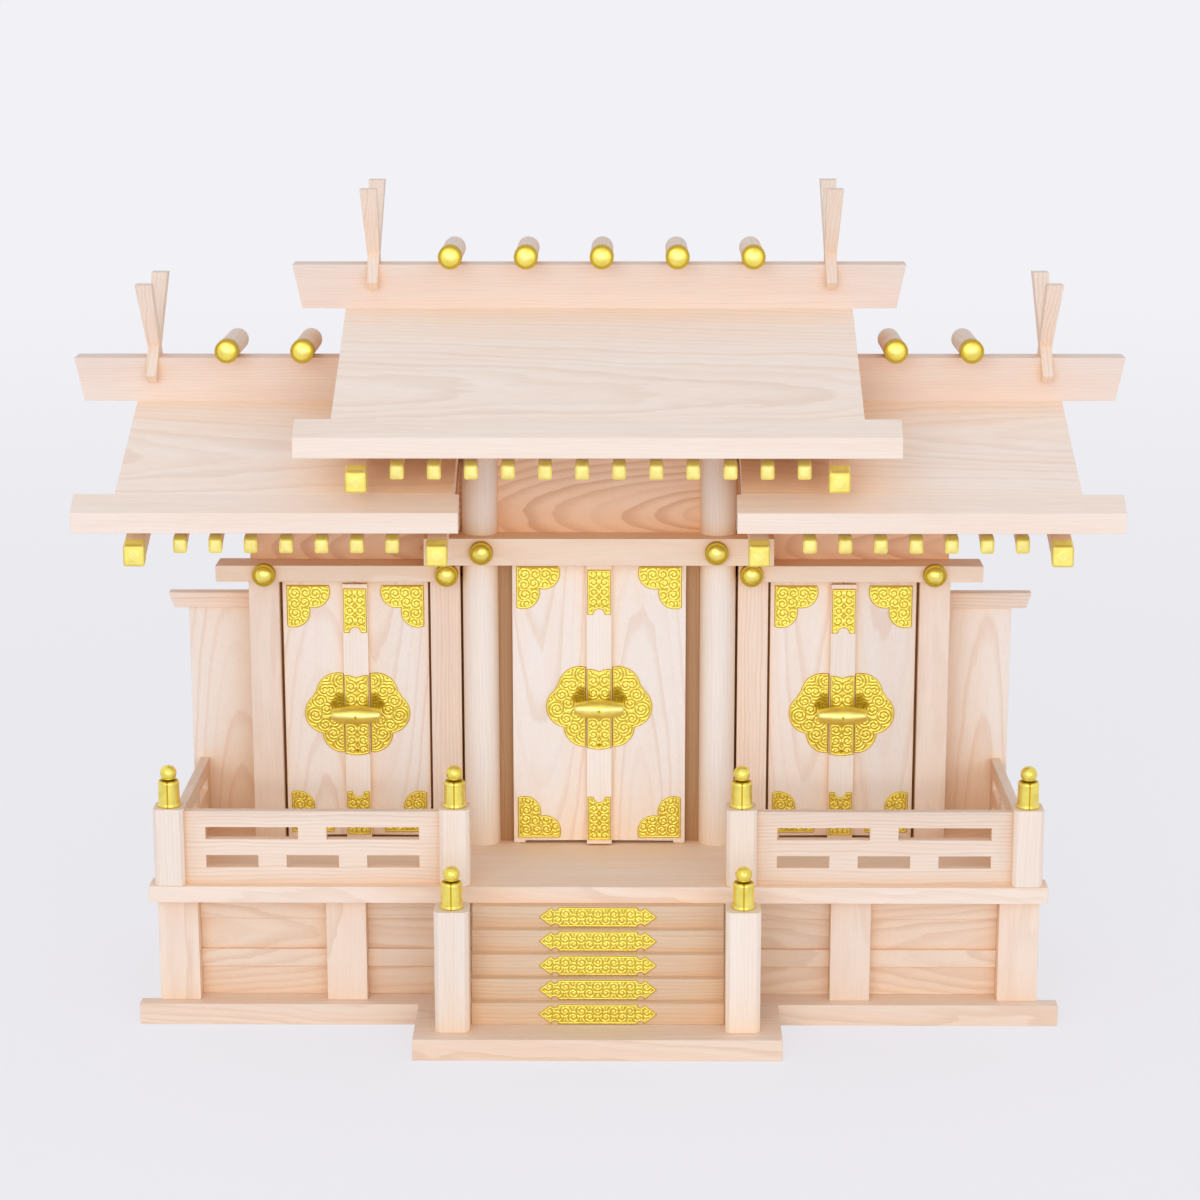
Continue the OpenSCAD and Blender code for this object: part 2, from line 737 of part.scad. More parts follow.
module centre_rafters(u0, u1, extra = 0)
    for (x = centre_rafter_xs()) rafter(x, u0, u1, centre_peak, centre_slope, centre_pitch, extra);

module side_rafters(u0, u1, extra = 0)
    for (s = [-1, 1], x = side_rafter_xs())
        rafter(s * x + trim_shift, u0, u1, side_peak, side_slope, side_pitch, extra);

module rafters() color(pale) {
    front_slope() {
        centre_rafters(rafter_root, centre_front_reach - rafter_tip);
        side_rafters(rafter_root, side_front_reach - rafter_tip);
    }
    back_slope() {
        centre_rafters(back_root, centre_back_reach - rafter_tip);
        side_rafters(back_root, side_back_reach - rafter_tip);
    }
}

module rafter_caps() color(brass) {
    tip_c = centre_front_reach - rafter_tip;
    tip_s = side_front_reach - rafter_tip;
    front_slope() difference() {
        union() {
            centre_rafters(tip_c - rafter_cap_l, tip_c + cap_front, cap_wall);
            side_rafters(tip_s - rafter_cap_l, tip_s + cap_front, cap_wall);
        }
        centre_rafters(rafter_root, tip_c);
        side_rafters(rafter_root, tip_s);
    }
}

// One arm of a bargeboard: a low tip, then up to the underside of the roof board
module barge_arm(x, reach, peak, slope, pitch) {
    tip = reach - barge_tip;
    step = tip - barge_step;
    along_x(x - barge_t / 2, x + barge_t / 2) polygon([
        [0, barge_low(peak, slope, 0)], [tip, barge_low(peak, slope, tip)],
        [tip, rafter_top(peak, slope, tip)], [step, rafter_top(peak, slope, step)],
        [step, slab_low(peak, slope, pitch, step)], [0, slab_low(peak, slope, pitch, 0)]
    ]);
}

// The board at the inner end of a side eave is only as deep as its tip
module inner_barge() front_slope() {
    tip = side_front_reach - barge_tip;
    along_x(side_barge_in - barge_t / 2, side_barge_in + barge_t / 2) polygon([
        [rafter_root, barge_low(side_peak, side_slope, rafter_root)],
        [tip, barge_low(side_peak, side_slope, tip)],
        [tip, rafter_top(side_peak, side_slope, tip)],
        [rafter_root, rafter_top(side_peak, side_slope, rafter_root)]
    ]);
}

module barge_arms(centre_reach, side_reach) {
    barge_arm(centre_barge_x, centre_reach, centre_peak, centre_slope, centre_pitch);
    barge_arm(side_barge_out, side_reach, side_peak, side_slope, side_pitch);
}

module front_bargeboards() color(pale) both_sides() {
    front_slope() barge_arms(centre_front_reach, side_front_reach);
    inner_barge();
}

module back_bargeboards() color(pale) both_sides()
    back_slope() barge_arms(centre_back_reach, side_back_reach);

// Brass sleeve over the tip of a bargeboard
module barge_cap(x, run, peak, slope) {
    tip = run - barge_tip;
    front_slope() difference() {
        barge_sleeve(x, tip - barge_cap_l, tip + cap_front, peak, slope, cap_wall);
        barge_sleeve(x, tip - barge_cap_l - cut, tip, peak, slope, 0);
    }
}

module barge_sleeve(x, u0, u1, peak, slope, wall)
    along_x(x - barge_t / 2 - wall, x + barge_t / 2 + wall) polygon([
        [u0, barge_low(peak, slope, u0) - wall], [u1, barge_low(peak, slope, u1) - wall],
        [u1, rafter_top(peak, slope, u1) + wall], [u0, rafter_top(peak, slope, u0) + wall]
    ]);

module bargeboard_caps() color(brass) both_sides() {
    barge_cap(centre_barge_x, centre_front_reach, centre_peak, centre_slope);
    barge_cap(side_barge_out, side_front_reach, side_peak, side_slope);
    barge_cap(side_barge_in, side_front_reach, side_peak, side_slope);
}

// Roof board of one slope
module slab_profile(run, peak, slope, pitch) {
    end = run - eave_t;
    polygon([
        [0, slab_low(peak, slope, pitch, 0)], [end, slab_low(peak, slope, pitch, end)],
        [end, slab_top(peak, slope, end)], [0, peak]
    ]);
}

module front_slabs() color(pale) {
    front_slope() along_x(-centre_slab_x, centre_slab_x)
        slab_profile(centre_front_reach, centre_peak, centre_slope, centre_pitch);
    both_sides() difference() {
        front_slope() along_x(centre_wall_out, side_slab_x)
            slab_profile(side_front_reach, side_peak, side_slope, side_pitch);
        pillar_notch();
    }
}

module back_slabs() color(pale) back_slope() {
    along_x(-centre_slab_x, centre_slab_x)
        slab_profile(centre_back_reach, centre_peak, centre_slope, centre_pitch);
    both_sides() along_x(centre_wall_out, side_slab_x)
        slab_profile(side_back_reach, side_peak, side_slope, side_pitch);
}

// Eave board with a bevelled top
module eave_profile(run, z) polygon([
    [run - eave_t, z], [run, z], [run, z + eave_face_h], [run - eave_t, z + eave_face_h + eave_bevel]
]);

module eave_boards() color(pale) {
    front_slope() {
        along_x(-centre_eave_x, centre_eave_x) eave_profile(centre_front_reach, centre_eave_z);
        both_sides() along_x(side_eave_in, side_eave_x) eave_profile(side_front_reach, side_eave_z);
    }
    back_slope() {
        along_x(-centre_slab_x, centre_slab_x) eave_profile(centre_back_reach, centre_back_eave_z);
        both_sides() along_x(side_eave_in, side_slab_x) eave_profile(side_back_reach, side_back_eave_z);
    }
}

// Ridge beams, seated over the peak of the roof boards

module ridge_beam(outline, peak, slope) difference() {
    forward(ridge_y + ridge_t / 2, ridge_t) polygon(outline);
    along_x(-side_ridge_x, side_ridge_x) polygon([
        [ridge_y, peak], [ridge_y - ridge_t, peak - ridge_t * slope], [ridge_y - ridge_t, 0],
        [ridge_y + ridge_t, 0], [ridge_y + ridge_t, peak - ridge_t * slope]
    ]);
}

module centre_ridge_beam() {
    low = centre_ridge_top - ridge_h;
    foot = centre_ridge_x - ridge_slant;
    ridge_beam([[-foot, low], [foot, low], [centre_ridge_x, centre_ridge_top],
                [-centre_ridge_x, centre_ridge_top]], centre_peak, centre_slope);
}

module side_ridge_beam() {
    low = side_ridge_top - ridge_h;
    ridge_beam([[side_ridge_in, low], [side_ridge_x - ridge_slant, low],
                [side_ridge_x, side_ridge_top], [side_ridge_in, side_ridge_top]], side_peak, side_slope);
}

module ridge_beams() color(pale) {
    centre_ridge_beam();
    both_sides() side_ridge_beam();
}

// Crossed finials: two arms that flare to a level cut at the top
module chigi_arm(lean) {
    up = (chigi_h - chigi_cross) / cos(chigi_lean) + chigi_t;
    rotate([lean, 0, 0]) translate([0, chigi_t / 2, 0]) rotate([90, 0, 0]) linear_extrude(chigi_t)
        polygon([[-chigi_foot_w / 2, -chigi_tail], [chigi_foot_w / 2, -chigi_tail],
                 [chigi_top_w / 2, up], [-chigi_top_w / 2, up]]);
}

module chigi_pair(x, top) intersection() {
    translate([x, ridge_y, top + chigi_cross]) {
        chigi_arm(chigi_lean);
        chigi_arm(-chigi_lean);
    }
    block(x - chigi_top_w, x + chigi_top_w, ridge_y - 3 * chigi_h, ridge_y + 3 * chigi_h,
          top - 2 * chigi_tail, top + chigi_h);
}

module chigi() color(wood) {
    for (s = [-1, 1]) difference() {
        chigi_pair(s * centre_chigi_x + trim_shift, centre_ridge_top);
        centre_ridge_beam();
    }
    both_sides() difference() {
        chigi_pair(side_chigi_x, side_ridge_top);
        side_ridge_beam();
    }
}

// Ridge logs with a small flat seat, drawn about the middle of the seat
module log_bar() {
    z = log_r - log_flat;
    difference() {
        translate([0, log_l / 2, z]) rotate([90, 0, 0]) cylinder(h = log_l, r = log_r);
        block(-log_d, log_d, -log_l, log_l, -log_d, 0);
    }
}

// Brass cup with a domed face over the front end of a log
module log_cap() {
    r = log_r + log_cap_wall;
    face = log_cap_l - log_cap_dome;
    translate([0, -log_l / 2 + face, log_r - log_flat]) rotate([90, 0, 0]) rotate_extrude() polygon(concat(
        [[log_r, 0], [r, 0], [r, face]],
        [for (a = [30 : 20 : 70]) [r * (0.5 + 0.5 * cos(a)), face + log_cap_dome * sin(a)]],
        [[0, log_cap_l], [0, face], [log_r, face]]
    ));
}

module each_log() {
    for (k = [-2 : 2])
        translate([k * centre_log_pitch + trim_shift, ridge_y, centre_ridge_top]) children();
    for (s = [-1, 1], k = [-0.5, 0.5])
        translate([s * side_log_x + k * side_log_pitch, ridge_y, side_ridge_top]) children();
}

module katsuogi() color(wood) each_log() log_bar();

module katsuogi_caps() color(brass) each_log() log_cap();

// Doors

module pivot(x, y, z0, z1) translate([x, y, z0]) cylinder(h = z1 - z0, d = pivot_d);

// One leaf drawn for the right-hand side of the middle x, with its pivots and ears
module leaf(w, y, h, head) {
    x0 = meeting_gap / 2;
    x1 = x0 + w;
    px = x1 - pivot_inset;
    py = y + leaf_t / 2;
    reach = socket_depth - socket_gap;
    block(x0, x1, y, y + leaf_t, leaf_low, leaf_low + h);
    block(x1 - ear_w, x1, y, y + leaf_t, floor_top + ear_gap, leaf_low + eps);
    pivot(px, py, floor_top - reach, leaf_low + eps);
    pivot(px, py, leaf_low + h - eps, leaf_low + h + head + reach);
}

module batten(y, h) difference() {
    block(-batten_w / 2, batten_w / 2, y - batten_t, y, leaf_low - batten_foot, leaf_low + h - batten_foot);
    block(-batten_w, meeting_gap / 2, y - batten_relief, y + cut, 0, leaf_low + h);
}

// Corner plate with its corner at the origin and a lobe at the end of each leg
module corner_outline() {
    a = corner_plate;
    intersection() {
        square(a);
        union() {
            square(a * 0.52);
            translate([a * 0.62, a * 0.155]) circle(a * 0.38);
            translate([a * 0.155, a * 0.62]) circle(a * 0.38);
        }
    }
}

module corner_plates(w, y, h) {
    x = meeting_gap / 2 + w - plate_inset;
    forward(y, plate_t) {
        translate([x, leaf_low + plate_rise]) mirror([1, 0]) corner_outline();
        translate([x, leaf_low + h - plate_rise]) mirror([1, 0]) mirror([0, 1]) corner_outline();
    }
}

// Cloud-shaped lock plate: twin lobes on top, one on each side and a wide one below
module lock_outline() {
    r = lock_half_w;
    translate([0, -r * 0.11]) circle(r * 0.67);
    for (s = [-1, 1]) {
        translate([s * r * 0.2, r * 0.37]) circle(r * 0.415);
        translate([s * r * 0.36, r * 0.385]) circle(r * 0.42);
        translate([s * r * 0.5, r * 0.2]) circle(r * 0.37);
        translate([s * r * 0.6, r * 0.015]) circle(r * 0.4);
        translate([s * r * 0.28, -r * 0.37]) circle(r * 0.39);
    }
}

module lock_half(y, lock_z) translate([0, 0, floor_top + lock_z]) forward(y, plate_t) intersection() {
    lock_outline();
    translate([batten_w / 2 + plate_gap, -lock_half_w]) square([lock_half_w, 2 * lock_half_w]);
}

module batten_plate() difference() {
    square([batten_plate_w, batten_plate_h], center = true);
    translate([0, -batten_plate_h / 2]) circle(batten_plate_w * 0.25);
}

// Spindle-shaped padlock across the batten, its axis along X
module lock_bar() {
    a = lock_bar_end_d / 2;
    b = lock_bar_d / 2;
    rotate([0, 90, 0]) rotate_extrude() polygon(concat(
        [[0, -lock_bar_l / 2]],
        [for (t = [-1 : 0.25 : 1]) [a + (b - a) * (1 - t * t), t * lock_bar_l / 2]],
        [[0, lock_bar_l / 2]]
    ));
}

module batten_fittings(y, h, lock_z) {
    face = y - batten_t;
    low = leaf_low - batten_foot;
    forward(face, plate_t) {
        translate([0, low + h - batten_plate_top - batten_plate_h / 2]) batten_plate();
        translate([0, low + batten_plate_top + batten_plate_h / 2]) mirror([0, 1]) batten_plate();
        translate([0, floor_top + lock_z]) intersection() {
            lock_outline();
            square([batten_w - plate_gap, 2 * lock_half_w], center = true);
        }
    }
    translate([0, face - plate_t - lock_bar_d / 2 + lock_bar_sunk, floor_top + lock_z]) lock_bar();
}

module leaf_fittings(w, y, h, lock_z) {
    corner_plates(w, y, h);
    lock_half(y, lock_z);
}

// One pair of doors has its left pieces mirrored about the middle of the pair
module at_left() translate([-side_door_x, 0, 0]) children();
module at_right() translate([side_door_x, 0, 0]) children();
module flip() mirror([1, 0, 0]) children();
module centre_leaf() color(pale) leaf(centre_leaf_w, centre_leaf_y, centre_leaf_h, centre_head);
module side_leaf() color(pale) leaf(side_leaf_w, side_leaf_y, side_leaf_h, side_head);
module side_batten() color(pale) batten(side_leaf_y, side_leaf_h);
module side_leaf_plates() color(brass) leaf_fittings(side_leaf_w, side_leaf_y, side_leaf_h, side_lock_z);
module side_right_plates() {
    side_leaf_plates();
    color(brass) batten_fittings(side_leaf_y, side_leaf_h, side_lock_z);
}

module centre_doors_left_leaf() flip() centre_leaf();
module centre_doors_right_leaf() centre_leaf();
module centre_doors_batten() color(pale) batten(centre_leaf_y, centre_leaf_h);
module centre_doors_left_plates() flip() color(brass)
    leaf_fittings(centre_leaf_w, centre_leaf_y, centre_leaf_h, centre_lock_z);
module centre_doors_right_plates() color(brass) {
    leaf_fittings(centre_leaf_w, centre_leaf_y, centre_leaf_h, centre_lock_z);
    batten_fittings(centre_leaf_y, centre_leaf_h, centre_lock_z);
}

module left_doors_left_leaf() at_left() flip() side_leaf();
module left_doors_right_leaf() at_left() side_leaf();
module left_doors_batten() at_left() side_batten();
module left_doors_left_plates() at_left() flip() side_leaf_plates();
module left_doors_right_plates() at_left() side_right_plates();

module right_doors_left_leaf() at_right() flip() side_leaf();
module right_doors_right_leaf() at_right() side_leaf();
module right_doors_batten() at_right() side_batten();
module right_doors_left_plates() at_right() flip() side_leaf_plates();
module right_doors_right_plates() at_right() side_right_plates();

base_board();
stair_plate();
base_posts();
front_skirts();
rear_skirts();
veranda_floor();
stair_steps();
step_fittings();
stair_posts();
railing_posts();
post_finials();
front_railing_left();
front_railing_right();
side_railing_left();
side_railing_right();
side_screens();
screen_caps();
centre_pillars();
side_pillars();
centre_lintel();
side_lintels();
lintel_caps();
friezes();
door_jambs();
door_heads();
side_walls();
back_wall();
roof_ceilings();
rafters();
rafter_caps();
front_bargeboards();
back_bargeboards();
bargeboard_caps();
front_slabs();
back_slabs();
eave_boards();
ridge_beams();
chigi();
katsuogi();
katsuogi_caps();
centre_doors_left_leaf();
centre_doors_right_leaf();
centre_doors_batten();
centre_doors_left_plates();
centre_doors_right_plates();
left_doors_left_leaf();
left_doors_right_leaf();
left_doors_batten();
left_doors_left_plates();
left_doors_right_plates();
right_doors_left_leaf();
right_doors_right_leaf();
right_doors_batten();
right_doors_left_plates();
right_doors_right_plates();
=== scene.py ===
"""Household shrine with three pairs of doors: grained wood with eased edges, turned and stamped brass."""

import json
import math
import random

import bmesh
import bpy
import numpy as np
from mathutils import Matrix, Vector
from mathutils.geometry import delaunay_2d_cdt

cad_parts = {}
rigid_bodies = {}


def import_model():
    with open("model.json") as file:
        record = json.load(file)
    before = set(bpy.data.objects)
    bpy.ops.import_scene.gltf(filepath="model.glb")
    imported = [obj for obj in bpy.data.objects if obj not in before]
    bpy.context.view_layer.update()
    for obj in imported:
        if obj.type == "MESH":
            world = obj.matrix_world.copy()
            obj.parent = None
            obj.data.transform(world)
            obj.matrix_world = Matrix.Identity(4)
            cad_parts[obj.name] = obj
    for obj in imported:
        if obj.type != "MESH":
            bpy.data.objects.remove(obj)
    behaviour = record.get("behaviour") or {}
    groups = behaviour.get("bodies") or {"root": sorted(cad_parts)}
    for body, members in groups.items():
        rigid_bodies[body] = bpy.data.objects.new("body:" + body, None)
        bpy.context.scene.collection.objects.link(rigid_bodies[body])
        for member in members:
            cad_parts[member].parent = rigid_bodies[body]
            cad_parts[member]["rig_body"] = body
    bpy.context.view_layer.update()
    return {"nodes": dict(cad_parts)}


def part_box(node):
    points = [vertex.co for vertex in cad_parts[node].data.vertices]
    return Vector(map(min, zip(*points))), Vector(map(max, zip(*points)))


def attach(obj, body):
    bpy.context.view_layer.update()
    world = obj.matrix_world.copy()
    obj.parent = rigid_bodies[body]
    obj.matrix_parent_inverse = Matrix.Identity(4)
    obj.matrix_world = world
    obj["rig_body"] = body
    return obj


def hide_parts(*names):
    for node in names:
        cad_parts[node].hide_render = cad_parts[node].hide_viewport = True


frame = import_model()

# Shapes are worked out in millimetres and turned into metres when a piece is made
MM = 0.001
TINY = 1e-9


def rgb(r, g, b):
    """A colour written as it should look, 0 to 255, turned into the linear values that a socket takes."""
    shares = (c / 255 for c in (r, g, b))
    return tuple(((s + 0.055) / 1.055) ** 2.4 if s > 0.04 else s / 12.92 for s in shares) + (1.0,)


# Node trees

class Tree:
    """Adds nodes to a material or world with few words. Every call but node returns one output."""

    def __init__(self, owner):
        owner.use_nodes = True
        self.tree = owner.node_tree
        self.tree.nodes.clear()

    def node(self, kind, sockets=None, **settings):
        made = self.tree.nodes.new("ShaderNode" + kind)
        for name, value in settings.items():
            setattr(made, name, value)
        for key, value in (sockets or {}).items():
            if isinstance(value, bpy.types.NodeSocket):
                self.tree.links.new(value, made.inputs[key])
            else:
                made.inputs[key].default_value = value
        return made

    def out(self, kind, sockets=None, output=0, **settings):
        return self.node(kind, sockets, **settings).outputs[output]

    def attribute(self, name, output="Fac"):
        return self.out("Attribute", output=output, attribute_name=name)

    def math(self, operation, *values):
        return self.out("Math", dict(enumerate(values)), operation=operation)

    def swing(self, value, size):
        """A value from 0 to 1 as one from minus to plus half the size."""
        return self.math("MULTIPLY", self.math("SUBTRACT", value, 0.5), size)

    def ramp(self, value, low, high, to_low=0.0, to_high=1.0, smooth=True):
        return self.out(
            "MapRange", {0: value, 1: low, 2: high, 3: to_low, 4: to_high},
            interpolation_type="SMOOTHSTEP" if smooth else "LINEAR",
        )

    def mix(self, factor, a, b, blend="MIX"):
        """Two colours mixed, by the numbers of the node's colour sockets."""
        return self.out("Mix", {0: factor, 6: a, 7: b}, 2, data_type="RGBA", blend_type=blend)

    def noise(self, vector, scale, detail=2.0, roughness=0.5):
        return self.out("TexNoise", {
            "Vector": vector, "Scale": scale, "Detail": detail, "Roughness": roughness,
        })

    def stretched(self, vector, x, y, z):
        return self.out("VectorMath", {0: vector, 1: (x, y, z)}, operation="MULTIPLY")


# Wood

FIBRE = 0.05
BOARD_TINT = 0.035
END_SHADE = 0.07
# Painted shade: how far ambient occlusion looks, and the warm tint that it multiplies into hemmed-in wood
PAINTED_SHADE_REACH = 0.05
PAINTED_SHADE_TINT = (1.08, 0.87, 0.62, 1.0)
GRAIN_DEPTH = 0.00006


def wood_material(name, early, late, flush, ring=2.2, contrast=0.5, flush_share=0.5, warp=1.4, soft=0.25,
                  warmth=1.0):
    """Planed softwood. The grain attribute is the place beside the tree's pith in metres, x along the grain.
    early and late are the two woods of a growth ring, ring its width in mm, contrast the strength of its dark
    line and soft the share of the ring where that line begins. flush is a pink or tan cast that drifts over
    the board, flush_share its strength, and warp how far the rings wander, in mm. Places that ambient
    occlusion finds hemmed in get a painted warm shade, as strong as warmth says."""
    material = bpy.data.materials.new(name)
    t = Tree(material)
    grain = t.stretched(t.attribute("grain", "Vector"), 1 / MM, 1 / MM, 1 / MM)

    def figure(along, across, detail=2.0, roughness=0.5):
        """Noise in the wood, in waves per mm along the grain and across it."""
        return t.noise(t.stretched(grain, along, across, across), 1.0, detail, roughness)

    # Growth rings: the distance from the pith, bent twice by slow noise and cut into years
    _, y, z = t.node("SeparateXYZ", {0: grain}).outputs
    radius = t.math("SQRT", t.math("ADD", t.math("POWER", y, 2.0), t.math("POWER", z, 2.0)))
    radius = t.math("ADD", radius, t.swing(figure(0.012, 0.05), warp * 5))
    radius = t.math("ADD", radius, t.swing(figure(0.05, 0.35), warp))
    phase = t.math("DIVIDE", radius, ring)
    share = t.math("FRACT", phase)
    year = t.out("TexWhiteNoise", {"W": t.math("FLOOR", phase)}, noise_dimensions="1D")
    line = t.math("MULTIPLY", t.ramp(share, soft, 0.86), t.ramp(share, 0.9, 1.0, 1.0, 0.0))
    line = t.math("MULTIPLY", line, t.ramp(year, 0.0, 1.0, 0.25, 1.0, False))

    # Colour: the cast, the lines, and a painted warm shade where ambient occlusion finds the wood hemmed in
    cast = t.ramp(figure(0.006, 0.09, 3.0), 0.36, 0.68)
    colour = t.mix(t.math("MULTIPLY", cast, flush_share), early, flush)
    colour = t.mix(t.math("MULTIPLY", line, contrast), colour, late)
    # Painted shade: the hemmed-in share, found by ambient occlusion, takes on the warm tint
    painted_shade_occlusion = t.out("AmbientOcclusion", {"Distance": PAINTED_SHADE_REACH}, "AO", samples=4)
    painted_shade_colour = t.mix(1.0, colour, PAINTED_SHADE_TINT, "MULTIPLY")
    colour = t.mix(t.ramp(painted_shade_occlusion, 0.95, 0.25, 0.0, warmth, False), colour, painted_shade_colour)

    # Tone: fibres, pores, each board's own shade and the darker end grain
    streak = figure(0.05, 2.6, 3.0, 0.6)
    tone = t.math("ADD", t.swing(streak, FIBRE * 4), 1.0)
    tone = t.math("ADD", tone, t.swing(figure(0.4, 9.0, 1.0), FIBRE))
    tone = t.math("ADD", tone, t.math("MULTIPLY", t.attribute("tint"), BOARD_TINT))
    tone = t.math("SUBTRACT", tone, t.math("MULTIPLY", t.attribute("end"), END_SHADE))
    colour = t.out("VectorMath", {0: colour, "Scale": tone}, operation="SCALE")

    height = t.math("ADD", t.math("MULTIPLY", line, 0.6), t.math("MULTIPLY", streak, 0.8))
    shader = t.out("BsdfPrincipled", {
        "Base Color": colour,
        "Roughness": t.ramp(line, 0.0, 1.0, 0.62, 0.5, False),
        "Normal": t.out("Bump", {"Strength": 0.35, "Distance": GRAIN_DEPTH, "Height": height}),
        "Specular IOR Level": 0.32,
    })
    t.node("OutputMaterial", {0: shader})
    return material


# Each wood's early and late colour, the cast over it, and what else sets it apart
# warmth sets how strongly ambient occlusion paints warm shade into each wood's hemmed-in places
WOOD_KINDS = {
    "pale": [(243, 227, 214), (221, 191, 166), (241, 216, 198), {"warmth": 0.75}],
    "base": [(238, 221, 207), (218, 189, 163), (236, 209, 189), {"warmth": 0.35}],
    "roof": [
        (249, 236, 226), (226, 199, 178), (248, 227, 212),
        {"ring": 3.0, "contrast": 0.36, "warp": 1.3},
    ],
    "eave": [(244, 230, 219), (232, 210, 192), (243, 220, 204), {"contrast": 0.26, "warmth": 0.6}],
    "ridge": [
        (242, 226, 216), (228, 200, 182), (240, 216, 204),
        {"ring": 1.8, "contrast": 0.3, "warmth": 0.8},
    ],
    "door": [
        (243, 237, 233), (226, 196, 175), (243, 226, 214),
        {"ring": 4.6, "contrast": 0.42, "flush_share": 0.4, "warp": 0.9, "soft": 0.55},
    ],
    "pillar": [(249, 242, 236), (238, 217, 202), (248, 234, 223), {"contrast": 0.26}],
    "post": [(243, 232, 222), (233, 208, 190), (242, 223, 208), {"contrast": 0.26}],
    "lintel": [(246, 227, 208), (229, 195, 164), (244, 214, 189), {"contrast": 0.3}],
    "skirt": [
        (236, 219, 204), (210, 176, 148), (232, 206, 184),
        {"ring": 3.6, "contrast": 0.42, "warmth": 0.7},
    ],
    # wall: the same cypress painted darker and warmer, as painted shade on the side walls and roof ceilings
    # under the eaves
    "wall": [(234, 202, 174), (206, 162, 126), (228, 188, 156), {"contrast": 0.4}],
    # jamb: the same cypress painted dark brown, as painted shade in the recess beside the doors
    "jamb": [(180, 149, 118), (154, 119, 86), (172, 137, 106), {"contrast": 0.4}],
    # frieze: a deeper orange, partly the wood's own colour and partly painted shade under the eaves
    "frieze": [
        (246, 216, 190), (210, 158, 122), (240, 202, 170),
        {"ring": 3.6, "contrast": 0.6, "warp": 0.8},
    ],
    "step": [(224, 203, 180), (199, 165, 137), (220, 189, 162), {"contrast": 0.4, "warmth": 0.8}],
}
WOODS = {
    kind: wood_material(f"{kind}_cypress", rgb(*early), rgb(*late), rgb(*flush), **words)
    for kind, (early, late, flush, words) in WOOD_KINDS.items()
}


# Boards

WELD = 1e-6
EASE = 0.35
LONG_EDGE = 1.6
SHARP_ANGLE = math.radians(25)
FLAT_ANGLE = math.radians(0.6)
END_SLICE = 0.02

# An axis counts as across the grain where the cosine between the two is below this
CROSSWISE = 0.71

# Where the pith lies under a board's face, in mm, how far it dips along the board, and its place across it
FIGURES = {
    "flat": {"depth": (12, 24), "sides": (-1, 1), "slope": (0.07, 0.14), "aside": (-0.25, 0.25)},
    "arched": {"depth": (14, 17), "sides": (1,), "slope": (-0.21, -0.17), "aside": (0.37, 0.4)},
    "plain": {"depth": (34, 52), "sides": (-1, 1), "slope": (0.03, 0.06), "aside": (-0.4, 0.4)},
}
FAR_PITH = (90, 170)
OFF_MIDDLE = 20
ALONG_TRUNK = 900

# The wood of each wooden node, the way its boards run and the figure on their faces
WOODEN = {
    "base_board": ("base", "x", "flat"),
    "stair_plate": ("base", "x", "flat"),
    "base_posts": ("pale", "z", "quarter"),
    "front_skirts": ("skirt", "level", "flat"),
    "rear_skirts": ("skirt", "level", "flat"),
    "veranda_floor": ("pale", "x", "flat"),
    "stair_steps": ("step", "x", "quarter"),
    "stair_posts": ("post", "z", "quarter"),
    "railing_posts": ("post", "z", "quarter"),
    "front_railing_left": ("pale", "x", "quarter"),
    "front_railing_right": ("pale", "x", "quarter"),
    "side_railing_left": ("pale", "y", "quarter"),
    "side_railing_right": ("pale", "y", "quarter"),
    "side_screens": ("door", "z", "flat"),
    "screen_caps": ("pale", "x", "quarter"),
    "centre_pillars": ("pillar", "z", "quarter"),
    "side_pillars": ("pale", "z", "quarter"),
    "centre_lintel": ("lintel", "x", "quarter"),
    "side_lintels": ("lintel", "x", "quarter"),
    # The friezes take the frieze wood, whose orange is partly painted shade
    "friezes": ("frieze", "x", "arched"),
    # The door jambs and heads take the jamb wood, darkened as painted shade
    "door_jambs": ("jamb", "z", "quarter"),
    "door_heads": ("jamb", "x", "quarter"),
    # The side walls and roof ceilings take the wall wood, darkened as painted shade
    "side_walls": ("wall", "z", "flat"),
    "back_wall": ("pale", "z", "flat"),
    "roof_ceilings": ("wall", "x", "quarter"),
    "rafters": ("pale", "long", "quarter"),
    "front_bargeboards": ("pale", "long", "quarter"),
    "back_bargeboards": ("pale", "long", "quarter"),
    "front_slabs": ("roof", "x", "plain"),
    "back_slabs": ("roof", "x", "plain"),
    "eave_boards": ("eave", "x", "quarter"),
    "ridge_beams": ("ridge", "x", "quarter"),
    "chigi": ("pale", "z", "edge"),
    "katsuogi": ("pale", "y", "quarter"),
}
DOOR_ROWS = ("left", "centre", "right")
for row in DOOR_ROWS:
    WOODEN[f"{row}_doors_left_leaf"] = ("door", "z", "flat")
    WOODEN[f"{row}_doors_right_leaf"] = ("door", "z", "flat")
    WOODEN[f"{row}_doors_batten"] = ("pillar", "z", "quarter")


def joined_faces(start, seen):
    """All faces that hang together with a first one, which are marked as seen."""
    seen.add(start)
    stack, part = [start], []
    while stack:
        face = stack.pop()
        part.append(face)
        for edge in face.edges:
            if len(edge.link_faces) == 2:
                for other in edge.link_faces:
                    if other not in seen:
                        seen.add(other)
                        stack.append(other)
    return part


def solids(node):
    """The closed solids of a node, each as points in mm and faces, in order of place."""
    bm = bmesh.new()
    bm.from_mesh(frame["nodes"][node].data)
    bmesh.ops.remove_doubles(bm, verts=bm.verts, dist=WELD)
    seen, found = set(), []
    for start in bm.faces:
        if start not in seen:
            index = {}
            part = joined_faces(start, seen)
            faces = [[index.setdefault(v, len(index)) for v in face.verts] for face in part]
            found.append((np.array([v.co for v in index], float) / MM, faces))
    bm.free()
    return sorted(found, key=lambda solid: [round(c, 1) for c in (*solid[0].min(0), *solid[0].max(0))])


